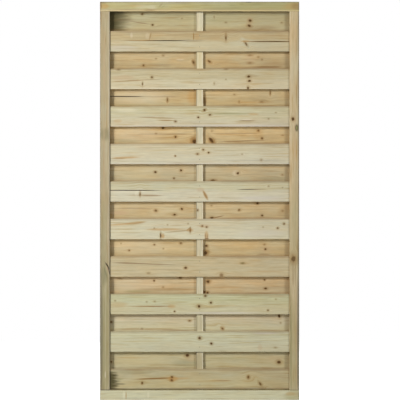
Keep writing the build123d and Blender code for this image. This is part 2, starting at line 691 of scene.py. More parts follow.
    def face_colour(self, sheet: NodeSheet, bent: Socket, grain: bpy.types.bpy_prop_collection) -> Socket:
        """Colour of the clear wood.

        Args:
            sheet: The material's nodes.
            bent: Place on the board, with the grain bent round the knots.
            grain: What the grain group gives.

        Returns:
            The socket that gives the colour.
        """
        along, across, _ = sheet.split(bent)
        band = sheet.swing(grain["band"])
        height = sheet.math("MULTIPLY_ADD", band, self.edge_sway, across)
        share = sheet.ease(height, self.edge - self.edge_softness, self.edge + self.edge_softness)
        colour = sheet.blend(share, self.lower, self.upper)
        late = sheet.math("MULTIPLY", grain["late"], self.ring_contrast)
        colour = sheet.blend(late, colour, LATE_TINT, "MULTIPLY")
        # Painted shade darkens each end beside the stiles
        for way, strength in zip((-1.0, 1.0), self.end_shade):
            if strength:
                near = sheet.ease(sheet.math("MULTIPLY", along, way), *self.end_reach)
                near = sheet.math("MULTIPLY", near, strength)
                colour = sheet.blend(near, colour, END_SHADE_TINT, "MULTIPLY")
        line = sheet.math("MULTIPLY", grain["line"], self.line_contrast)
        colour = sheet.blend(line, colour, LINE_TINT, "MULTIPLY")
        patch = sheet.swing(grain["patch"])
        bright = sheet.math("MULTIPLY_ADD", band, self.band_contrast, 1.0)
        for name, contrast in (("fibre", self.fibre_contrast), ("fleck", self.fleck_contrast)):
            bright = sheet.math("MULTIPLY_ADD", sheet.swing(grain[name]), contrast, bright)
        tone = sheet.add("ShaderNodeHueSaturation")
        sheet.feed(tone.inputs["Hue"], sheet.math("MULTIPLY_ADD", patch, self.hue_play, self.plain_hue))
        sheet.feed(tone.inputs["Saturation"], sheet.math("MULTIPLY_ADD", patch, self.patch_fade, 1.0))
        sheet.feed(tone.inputs["Value"], bright)
        sheet.feed(tone.inputs["Color"], colour)
        return tone.outputs[0]

    def add_streaks(
        self,
        sheet: NodeSheet,
        groups: WoodGroups,
        place: Socket,
        grain: bpy.types.bpy_prop_collection,
        colour: Socket,
    ) -> Socket:
        """Lay this board's streaks, staining, painted shade and painted highlights over its colour.

        Args:
            sheet: The material's nodes.
            groups: The shared node groups.
            place: Place on the board.
            grain: What the grain group gives.
            colour: Colour of the clear wood.

        Returns:
            The socket that gives the colour with the streaks.
        """
        broken = sheet.math("ADD", sheet.swing(grain["fibre"]), sheet.swing(grain["patch"]))
        _, _, depth = sheet.split(place)
        front = sheet.ease(depth, *self.stain_and_shade_reach)
        throughout = 1.0
        marks = [(streak, throughout) for streak in self.streaks]
        marks += [(shade_and_stain, front) for shade_and_stain in self.stains_and_shade]
        for streak, shown in marks:
            share = sheet.group(
                groups.streak,
                place=place,
                along=streak.along,
                across=streak.across,
                half_length=streak.length / 2,
                half_height=streak.height / 2,
                turn=streak.turn,
                strength=streak.strength,
                ragged=sheet.math("MULTIPLY", broken, streak.fray),
            ).outputs["share"]
            share = sheet.math("MULTIPLY", share, shown)
            colour = sheet.blend(share, colour, streak.tint.value)
        return colour

    def add_arrises(
        self, sheet: NodeSheet, place: Socket, grain: bpy.types.bpy_prop_collection, colour: Socket
    ) -> Socket:
        """Lay the dirt and wear of the long edges over the colour.

        Args:
            sheet: The material's nodes.
            place: Place on the board.
            grain: What the grain group gives.
            colour: Colour of the wood with its streaks.

        Returns:
            Lay the colour of the long edges, with its painted shadows and painted highlights, over the
            colour.
        """
        _, across, depth = sheet.split(place)
        broken = sheet.math("MULTIPLY_ADD", grain["patch"], self.arris_fray, -self.arris_fray / 2)
        for arris in self.arrises:
            rise = sheet.math("SUBTRACT", across, arris.across)
            inward = sheet.math("SUBTRACT", depth, arris.depth)
            square = sheet.math("MULTIPLY_ADD", rise, rise, sheet.math("MULTIPLY", inward, inward))
            distance = sheet.math("ADD", sheet.math("SQRT", square), broken)
            share = sheet.ease(distance, arris.reach, self.arris_core * arris.reach)
            share = sheet.math("MULTIPLY", share, arris.strength)
            colour = sheet.blend(share, colour, arris.tint.value)
        return colour

    def add_surface(
        self, sheet: NodeSheet, colour: Socket, grain: bpy.types.bpy_prop_collection, core: Feed
    ) -> None:
        """Finish the material with its sheen and fine relief.

        Args:
            sheet: The material's nodes.
            colour: The board's colour.
            grain: What the grain group gives.
            core: Darkness of the knots' cores, which the planer leaves smoother.
        """
        surface = sheet.add("ShaderNodeBsdfPrincipled")
        surface.inputs["Specular IOR Level"].default_value = self.specular
        sheet.feed(surface.inputs["Base Color"], colour)
        low, high = self.roughness_range
        sheet.feed(surface.inputs["Roughness"], sheet.math("MULTIPLY_ADD", grain["fibre"], high - low, low))
        relief = sheet.math("MULTIPLY_ADD", grain["late"], self.late_relief, grain["fibre"])
        relief = sheet.math("MULTIPLY_ADD", core, self.knot_relief, relief)
        bump = sheet.add("ShaderNodeBump")
        bump.inputs["Strength"].default_value = self.bump_strength
        bump.inputs["Distance"].default_value = self.bump_height
        sheet.feed(bump.inputs["Height"], relief)
        sheet.feed(surface.inputs["Normal"], bump.outputs[0])
        output = sheet.add("ShaderNodeOutputMaterial")
        sheet.feed(output.inputs["Surface"], surface.outputs[0])


@dataclass(frozen=True)
class GalvanisedSteel:
    """Finish of the nails and the corner pins: dull zinc with a fine mottle.

    Attributes:
        bright: Colour of its paler spots.
        dull: Colour of its darker spots.
        mottle_per_metre: How many spots there are to a metre.
        mottle_detail: How many finer layers the mottle has.
        metallic: How much of a metal's shine it has, from 0 to 1.
        roughness: How dull its shine is, from 0 to 1.
    """

    bright: Colour = paint(150, 146, 136)
    dull: Colour = paint(112, 106, 94)
    mottle_per_metre: float = 900.0
    mottle_detail: float = 2.0
    metallic: float = 0.75
    roughness: float = 0.55

    def material(self) -> bpy.types.Material:
        """Make the finish's material."""
        made = bpy.data.materials.new("galvanised_steel")
        made.use_nodes = True
        made.node_tree.nodes.clear()
        sheet = NodeSheet(made.node_tree)
        coordinates = sheet.add("ShaderNodeTexCoord").outputs["Object"]
        mottle = sheet.noise(coordinates, (self.mottle_per_metre,) * 3, self.mottle_detail)
        surface = sheet.add("ShaderNodeBsdfPrincipled")
        surface.inputs["Metallic"].default_value = self.metallic
        surface.inputs["Roughness"].default_value = self.roughness
        sheet.feed(surface.inputs["Base Color"], sheet.blend(mottle, self.dull, self.bright))
        output = sheet.add("ShaderNodeOutputMaterial")
        sheet.feed(output.inputs["Surface"], surface.outputs[0])
        return made


class Bench:
    """Operations on meshes, as done by hand in Blender."""

    weld = 0.001 * MM  # points of a new piece that are closer than this become one
    solid_weld = 0.01 * MM  # the same for a copy of a CAD node
    flat = math.radians(0.5)  # faces of such a copy that turn less than this become one

    @staticmethod
    def deselect() -> None:
        """Leave edit mode and select nothing."""
        if bpy.context.object and bpy.context.object.mode != "OBJECT":
            bpy.ops.object.mode_set(mode="OBJECT")
        bpy.ops.object.select_all(action="DESELECT")

    @staticmethod
    def pick(piece: bpy.types.Object) -> None:
        """Select one object and make it the active one."""
        Bench.deselect()
        piece.select_set(True)
        bpy.context.view_layer.objects.active = piece

    @staticmethod
    def copy_node(node: str, name: str) -> bpy.types.Object:
        """Copy a CAD node as a closed mesh.

        Args:
            node: The CAD node's name.
            name: Name of the new piece.

        Returns:
            The new piece, which rides on the panel and stands for the node.
        """
        Bench.pick(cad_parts[node])
        bpy.ops.object.duplicate()
        piece = bpy.context.object
        piece.name = name
        for mark in [key for key in piece.keys() if key.startswith("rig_")]:
            del piece[mark]
        piece.parent = None
        bpy.ops.object.mode_set(mode="EDIT")
        bpy.ops.mesh.select_all(action="SELECT")
        bpy.ops.mesh.remove_doubles(threshold=Bench.solid_weld)
        bpy.ops.mesh.dissolve_limited(angle_limit=Bench.flat)
        bpy.ops.object.mode_set(mode="OBJECT")
        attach(piece, BODY)
        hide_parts(node)
        return piece

    @staticmethod
    def select_points(piece: bpy.types.Object, wanted: Callable[[Vector], bool]) -> None:
        """Select the points of the mesh in edit mode that a test names.

        Args:
            piece: The object in edit mode.
            wanted: Test that takes a point's place and says whether it is wanted.
        """
        bpy.ops.mesh.select_mode(type="VERT")
        bpy.ops.mesh.select_all(action="DESELECT")
        mesh = bmesh.from_edit_mesh(piece.data)
        for point in mesh.verts:
            if wanted(point.co):
                point.select = True
        mesh.select_flush(True)
        bmesh.update_edit_mesh(piece.data)

    @staticmethod
    def select_edges(piece: bpy.types.Object, wanted: Callable[[Vector], bool]) -> None:
        """Select the edges of the mesh in edit mode that a test names.

        Args:
            piece: The object in edit mode.
            wanted: Test that takes an edge's run from end to end and says whether it is wanted.
        """
        bpy.ops.mesh.select_mode(type="EDGE")
        bpy.ops.mesh.select_all(action="DESELECT")
        mesh = bmesh.from_edit_mesh(piece.data)
        for line in mesh.edges:
            if wanted(line.verts[1].co - line.verts[0].co):
                line.select = True
        mesh.select_flush(True)
        bmesh.update_edit_mesh(piece.data)

    @staticmethod
    def cut(piece: bpy.types.Object, cutter: bpy.types.Object) -> None:
        """Cut one closed mesh out of another, and delete the cutter."""
        Bench.pick(piece)
        difference = piece.modifiers.new("cut", "BOOLEAN")
        difference.operation = "DIFFERENCE"
        difference.solver = "EXACT"
        difference.object = cutter
        bpy.ops.object.modifier_apply(modifier=difference.name)
        bpy.data.objects.remove(cutter)

    @staticmethod
    def dress(piece: bpy.types.Object, material: bpy.types.Material) -> None:
        """Give a piece one material."""
        piece.data.materials.clear()
        piece.data.materials.append(material)


@dataclass(frozen=True)
class Split:
    """A drying split in a board's face.

    Attributes:
        start: Where it begins along the board, in mm from the panel's middle.
        end: Where it ends.
        across: Its height on the face, in mm from the board's middle.
        opening: Its greatest width, in mm.
        widest: Where it is widest, as a share of its length.
        depth: How deep it goes, in mm.
        slope: How far it climbs from start to end, in mm.
    """

    start: float
    end: float
    across: float
    opening: float = 2.0
    widest: float = 0.5
    depth: float = 6.5
    slope: float = 0.0

    # Steps that the wedge has along its length
    steps = 18

    # How far the split strays from a straight line, in mm, and how often it does
    sway = 0.4
    sway_wave = 9.0

    # How much its opening varies, in two waves that don't keep step
    ripple = 0.22
    ripple_waves = (31.0, 13.0)

    # Power of the curve by which it narrows, and its least opening
    taper = 0.8
    least_opening = 0.04

    # How far the wedge stands out of the face, and how far its inner edge is lowered, in mm
    clear = 2.0
    undercut = 0.6

    # The painted shade's length and height, as multiples of the split's, and how far its edge is broken up
    shade_length = 1.06
    shade_height = 2.4
    shade_fray = 0.15

    def opening_at(self, share: float) -> float:
        """Opening at a share of the split's length, as a part of its greatest.

        Args:
            share: From 0 at its start to 1 at its end.

        Returns:
            The opening, from nearly 0 to 1.
        """
        near = share / self.widest if share < self.widest else (1 - share) / (1 - self.widest)
        fast, slow = self.ripple_waves
        ripple = 1 + self.ripple * math.sin(fast * share) * math.sin(slow * share + 1)
        return max(self.least_opening, ripple * math.sin(near * math.pi / 2) ** self.taper)

    def shade_and_stain(self) -> Streak:
        """Painted shade in the split, fading out over its lips."""
        length = self.end - self.start
        middle = (self.start + self.end) / 2
        turn = math.atan2(self.slope, length)
        size = (self.shade_length * length, self.shade_height * self.opening)
        return Streak(middle, self.across, *size, StreakTint.DARK_BROWN, 1.0, turn, self.shade_fray)

    def cutter(self, middle: Vector, face: float) -> bpy.types.Object:
        """Make the wedge that cuts this split.

        Args:
            middle: Middle of the board's box.
            face: Place of the board's face in Y, which the split opens to the front.

        Returns:
            The wedge.
        """
        length = (self.end - self.start) * MM
        size = Vector((length, (self.depth + self.clear) * MM, self.opening * MM))
        centre = Vector((
            (self.start + self.end) / 2 * MM,
            face + (self.depth - self.clear) / 2 * MM,
            middle.z + self.across * MM,
        ))
        Bench.deselect()
        bpy.ops.mesh.primitive_cube_add(size=1.0, location=centre)
        wedge = bpy.context.object
        wedge.scale = size
        bpy.ops.object.transform_apply(location=True, rotation=True, scale=True)
        bpy.ops.object.mode_set(mode="EDIT")
        Bench.select_edges(wedge, lambda run: abs(run.x) > length / 2)
        bpy.ops.mesh.subdivide(number_cuts=self.steps - 1)
        for step in range(self.steps + 1):
            share = step / self.steps
            place = centre.x + (share - 0.5) * length
            slack = length / self.steps / 4
            Bench.select_points(wedge, lambda co, x=place: abs(co.x - x) < slack)
            pivot = Vector((place, centre.y, centre.z))
            narrow = self.opening_at(share)
            bpy.ops.transform.resize(value=(1, 1, narrow), center_override=pivot)
            sway = self.sway * math.sin(self.sway_wave * share + self.start) + self.slope * (share - 0.5)
            bpy.ops.transform.translate(value=(0, 0, sway * MM))
        deep = centre.y + size.y / 4
        Bench.select_points(wedge, lambda co: co.y > deep)
        bpy.ops.transform.translate(value=(0, 0, -self.undercut * MM))
        bpy.ops.mesh.select_all(action="SELECT")
        bpy.ops.mesh.normals_make_consistent(inside=False)
        bpy.ops.object.mode_set(mode="OBJECT")
        return wedge


@dataclass(frozen=True)
class Scoop:
    """A waney hollow in a board's edge, where the tree's outside curved away.

    Attributes:
        place: Its middle, in metres.
        size: Its length, depth and height, in mm.
        turn: Tilt seen from the front, in radians.
        seed: Number that gives it its own unevenness.
    """

    place: tuple[float, float, float]
    size: tuple[float, float, float]
    turn: float = 0.0
    seed: int = 1

    # Unevenness of its surface, and the fineness of the egg that cuts it
    roughness = 0.35 * MM
    segments = 28
    rings = 16

    def cutter(self) -> bpy.types.Object:
        """Make the uneven egg that cuts this hollow."""
        Bench.deselect()
        bpy.ops.mesh.primitive_uv_sphere_add(
            segments=self.segments, ring_count=self.rings, radius=0.5, location=self.place
        )
        egg = bpy.context.object
        egg.scale = Vector(self.size) * MM
        bpy.ops.object.transform_apply(location=True, rotation=True, scale=True)
        bpy.ops.object.mode_set(mode="EDIT")
        bpy.ops.mesh.select_all(action="SELECT")
        bpy.ops.transform.rotate(value=self.turn, orient_axis="Y", center_override=self.place)
        bpy.ops.transform.vertex_random(offset=self.roughness, seed=self.seed)
        bpy.ops.object.mode_set(mode="OBJECT")
        return egg


@dataclass
class Board:
    """One board of the panel, with its finish.

    Attributes:
        node: Name of its CAD node.
        slot: A name for its finish; not used.
        timber: Its finish.
        way: Which way its grain runs.
        splits: Splits in its front face.
        scoops: Waney hollows in its edges.
    """

    node: str
    slot: str
    timber: Timber
    way: GrainWay = GrainWay.LEVEL
    splits: tuple[Split, ...] = ()
    scoops: tuple[Scoop, ...] = ()

    def middle(self) -> Vector:
        """Middle of the board's box."""
        low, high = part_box(self.node)
        return (low + high) / 2

    def build(self) -> bpy.types.Object:
        """Make the board's mesh, where it differs from its CAD solid.

        Returns:
            The CAD node, or the piece that stands for it.
        """
        if not self.splits and not self.scoops:
            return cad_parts[self.node]
        piece = Bench.copy_node(self.node, self.node + "_board")
        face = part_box(self.node)[0].y
        for split in self.splits:
            Bench.cut(piece, split.cutter(self.middle(), face))
        for scoop in self.scoops:
            Bench.cut(piece, scoop.cutter())
        return piece

    def dress(self, piece: bpy.types.Object, groups: WoodGroups) -> None:
        """Give the board its finish."""
        # Each split adds painted shade inside it, fading out over its lips
        stains_and_shade = tuple(split.shade_and_stain() for split in self.splits)
        timber = replace(self.timber, streaks=self.timber.streaks + stains_and_shade)
        Bench.dress(piece, timber.material(self.node + "_timber", self.way, self.middle(), groups))


@dataclass
class BoardSet:
    """A sub-assembly of boards.

    Attributes:
        title: What a maker calls it.
        boards: Its boards.
    """

    title: str
    boards: tuple[Board, ...]

    def make(self, groups: WoodGroups) -> None:
        """Build and dress each board, and report it."""
        for board in self.boards:
            piece = board.build()
            board.dress(piece, groups)
            LOG.info("%s: %s, %d faces", self.title, piece.name, len(piece.data.polygons))


@dataclass
class SlatNails:
    """Round-headed wire nails that fix one layer of slats to the batten and the fillets.

    Attributes:
        node: Name of the CAD node that they stand for.
        slats: Names of the slats' nodes.
        outward: Way that the heads face, -1 for the front and 1 for the back.
        strip: Name of the narrow strip's node, where the layer has one.
        shank_radius: Half the wire's thickness.
        length: Length from head to tip.
        point: Length of the tip.
        head_radius: Half the head's width.
        head_rise: How far a head stands out from the slat.
        spacing: Height between the two nails of a slat at the batten.
        end_place: Distance of a slat's end nails from the panel's middle.
        sides: How many sides the shank and the head have.
    """

    node: str
    slats: tuple[str, ...]
    outward: int
    strip: str = ""
    shank_radius: float = 0.85 * MM
    length: float = 19.5 * MM
    point: float = 2.5 * MM
    head_radius: float = 1.7 * MM
    head_rise: float = 0.3 * MM
    spacing: float = 50 * MM
    end_place: float = 411.5 * MM
    sides: int = 10

    # Width of the tip as a share of the shank's, height of the rim as a share of the head's rise,
    # and width of the head's top as a share of the rim's
    tip_share = 0.15
    rim_share = 0.6
    crown_share = 0.75

    # Faces that meet at less than this are shaded as one
    smooth = math.radians(40)

    def places(self) -> list[tuple[float, float, bool]]:
        """Where the nails are.

        Returns:
            X and Z of each nail, and whether its head is sunk behind the frame's lip.
        """
        found = []
        for slat in self.slats:
            low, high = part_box(slat)
            height = (low.z + high.z) / 2
            found += [(0.0, height + side * self.spacing / 2, False) for side in (-1, 1)]
            found += [(side * self.end_place, height, True) for side in (-1, 1)]
        if self.strip:
            low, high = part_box(self.strip)
            found += [(side * self.end_place, (low.z + high.z) / 2, True) for side in (-1, 0, 1)]
        return found

    def face(self) -> float:
        """Y of the slats' outer faces."""
        low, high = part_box(self.slats[0])
        return low.y if self.outward < 0 else high.y

    def model_nail(self) -> bpy.types.Object:
        """Model one nail at the panel's middle, with its head's rim on the slats' outer face.

        Returns:
            The nail.
        """
        inward = -self.outward
        face = self.face()
        Bench.deselect()
        bpy.ops.mesh.primitive_cylinder_add(
            vertices=self.sides,
            radius=self.shank_radius,
            depth=self.length - self.point,
            location=(0, face + inward * (self.length - self.point) / 2, 0),
            rotation=(math.pi / 2, 0, 0),
        )
        nail = bpy.context.object
        bpy.ops.object.transform_apply(location=True, rotation=True, scale=True)
        bpy.ops.object.mode_set(mode="EDIT")
        middle = face + inward * (self.length - self.point) / 2
        Bench.select_points(nail, lambda co: (co.y - middle) * inward > 0)
        bpy.ops.mesh.extrude_region_move(TRANSFORM_OT_translate={"value": (0, inward * self.point, 0)})
        tip = Vector((0, face + inward * self.length, 0))
        bpy.ops.transform.resize(value=(self.tip_share, 1, self.tip_share), center_override=tip)
        Bench.select_points(nail, lambda co: (co.y - middle) * inward < 0)
        rim = self.head_radius / self.shank_radius
        bpy.ops.mesh.extrude_region_move()
        bpy.ops.transform.resize(value=(rim, 1, rim), center_override=(0, face, 0))
        for share in (self.rim_share, 1 - self.rim_share):
            rise = self.outward * self.head_rise * share
            bpy.ops.mesh.extrude_region_move(TRANSFORM_OT_translate={"value": (0, rise, 0)})
        crown = self.crown_share
        bpy.ops.transform.resize(value=(crown, 1, crown), center_override=(0, face, 0))
        bpy.ops.mesh.select_all(action="SELECT")
        bpy.ops.mesh.remove_doubles(threshold=Bench.weld)
        bpy.ops.mesh.normals_make_consistent(inside=False)
        bpy.ops.object.mode_set(mode="OBJECT")
        return nail

    def build(self) -> bpy.types.Object:
        """Copy the nail to each place and join the copies.

        Returns:
            The layer's nails, as one piece that stands for the CAD pins.
        """
        pattern = self.model_nail()
        copies = []
        for x, z, sunk in self.places():
            copy = bpy.data.objects.new("nail", pattern.data.copy())
            bpy.context.scene.collection.objects.link(copy)
            copy.location = (x, -self.outward * self.head_rise if sunk else 0, z)
            copies.append(copy)
        bpy.data.objects.remove(pattern)
        Bench.deselect()
        for copy in copies:
            copy.select_set(True)
        bpy.context.view_layer.objects.active = copies[0]
        bpy.ops.object.transform_apply(location=True, rotation=True, scale=True)
        bpy.ops.object.join()
        piece = bpy.context.object
        piece.name = self.node.replace("pins", "nails")
        bpy.ops.object.shade_smooth_by_angle(angle=self.smooth)
        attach(piece, BODY)
        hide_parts(self.node)
        return piece

    def make(self, steel: bpy.types.Material) -> None:
        """Build the nails, dress them and report them."""
        piece = self.build()
        Bench.dress(piece, steel)
        LOG.info("nails: %s, %d faces", piece.name, len(piece.data.polygons))


@dataclass(frozen=True)
class Lamp:
    """One soft light of the studio.

    Attributes:
        name: Its name.
        place: Its middle.
        size: Its width and height.
        power: Its power, in watts.
    """

    name: str
    place: tuple[float, float, float]
    size: tuple[float, float]
    power: float


@dataclass
class Studio:
    """Camera, light and floor, set up as for a catalogue picture seen square from the front.

    Attributes:
        camera_distance: From the panel's front face to the lens.
        picture_height: Height at the panel's front face that fills the picture.
        picture_shift: Shift of the picture to the right and up, as shares of its width.
        sensor: Width of the camera's sensor, in mm.
        key: The tall main light, at the left.
        fill: The tall second light, farther off at the right.
        low_front: The wide light near the floor in front, which opens the shadows.
        rear_right: A light behind the panel, for views of its back.
        rear_left: The other light behind the panel.
        surround: Brightness of the room as it lights the panel.
        floor_size: Width of the square floor.
        floor_glow: Brightness that the floor has of its own.
        floor_tint: The floor's colour.
        floor_roughness: How dull the floor is, from 0 to 1.
    """

    camera_distance: float = 11.0
    picture_height: float = 1.8072
    picture_shift: tuple[float, float] = (0.001, 0.00225)
    sensor: float = 36.0
    key: Lamp = Lamp("key_light", (-3.75, -4.68, 3.4), (0.58, 1.9), 312.0)
    fill: Lamp = Lamp("fill_light", (7.76, -9.15, 5.4), (1.15, 3.8), 402.0)
    low_front: Lamp = Lamp("low_front_light", (0.0, -5.5, 0.35), (5.0, 0.5), 65.0)
    rear_right: Lamp = Lamp("rear_right_light", (1.6, 2.6, 2.2), (0.4, 1.6), 55.0)
    rear_left: Lamp = Lamp("rear_left_light", (-1.9, 2.4, 1.6), (0.4, 1.6), 55.0)
    surround: float = 0.09
    floor_size: float = 9.0
    floor_glow: float = 0.93
    floor_tint: Colour = paint(206, 205, 202)
    floor_roughness: float = 0.9

    def aim_at(self) -> Vector:
        """Middle of the panel."""
        low, high = CAD_BOX
        return (low + high) / 2

    def make_camera(self) -> None:
        """Set the camera square in front of the panel, at half its height."""
        data = bpy.data.cameras.new("camera")
        data.sensor_width = self.sensor
        data.lens = self.sensor * self.camera_distance / self.picture_height
        data.shift_x, data.shift_y = self.picture_shift
        camera = bpy.data.objects.new("camera", data)
        target = self.aim_at()
        camera.location = (target.x, CAD_BOX[0].y - self.camera_distance, target.z)
        camera.rotation_euler = (math.pi / 2, 0, 0)
        bpy.context.scene.collection.objects.link(camera)
        bpy.context.scene.camera = camera

    def make_light(self, lamp: Lamp) -> None:
        """Add a soft light that faces the panel's middle."""
        data = bpy.data.lights.new(lamp.name, "AREA")
        data.shape = "RECTANGLE"
        data.size, data.size_y = lamp.size
        data.energy = lamp.power
        light = bpy.data.objects.new(lamp.name, data)
        light.location = lamp.place
        toward = self.aim_at() - Vector(lamp.place)
        light.rotation_euler = toward.to_track_quat("-Z", "Y").to_euler()
        light.visible_camera = False
        bpy.context.scene.collection.objects.link(light)

    def make_world(self) -> None:
        """Make a room that is white to look at and gives little light."""
        world = bpy.data.worlds.new("white_room")
        world.use_nodes = True
        sheet = NodeSheet(world.node_tree)
        sheet.tree.nodes.clear()
        background = sheet.add("ShaderNodeBackground")
        background.inputs["Color"].default_value = WHITE
        seen = sheet.add("ShaderNodeLightPath").outputs["Is Camera Ray"]
        sheet.feed(background.inputs["Strength"], sheet.math("MAXIMUM", seen, self.surround))
        output = sheet.add("ShaderNodeOutputWorld")
        sheet.feed(output.inputs["Surface"], background.outputs[0])
        bpy.context.scene.world = world

    def make_floor(self) -> None:
        """Lay a plain pale floor, which doesn't throw its own light on the panel."""
        Bench.deselect()
        bpy.ops.mesh.primitive_plane_add(size=self.floor_size, location=(0, 0, CAD_BOX[0].z))
        floor = bpy.context.object
        floor.name = "floor"
        made = bpy.data.materials.new("pale_floor")
        made.use_nodes = True
        surface = made.node_tree.nodes["Principled BSDF"]
        surface.inputs["Base Color"].default_value = self.floor_tint
        surface.inputs["Roughness"].default_value = self.floor_roughness
        surface.inputs["Emission Color"].default_value = WHITE
        surface.inputs["Emission Strength"].default_value = self.floor_glow
        floor.data.materials.append(made)
        floor.visible_diffuse = False
        floor.visible_glossy = False

    def make(self) -> None:
        """Set up the whole studio."""
        self.make_camera()
        for lamp in (self.key, self.fill, self.low_front, self.rear_right, self.rear_left):
            self.make_light(lamp)
        self.make_world()
        self.make_floor()
        bpy.context.scene.view_settings.view_transform = "Standard"
        LOG.info("studio: camera, lights, room and floor")


RED = KnotKind.RED
DARK = KnotKind.DARK
FAINT = KnotKind.FAINT
RESIN = StreakTint.RESIN
BROWN = StreakTint.BROWN
HEART = StreakTint.HEART
ROSE = StreakTint.ROSE
LILAC = StreakTint.LILAC
PALE = StreakTint.PALE
GREY = StreakTint.GREY
OLIVE = StreakTint.OLIVE
GREY_GREEN = StreakTint.GREY_GREEN
ALGAE = StreakTint.ALGAE
DARK_BROWN = StreakTint.DARK_BROWN
HONEY = StreakTint.HONEY
DARK_GREY = StreakTint.DARK_GREY
STRAW = StreakTint.STRAW

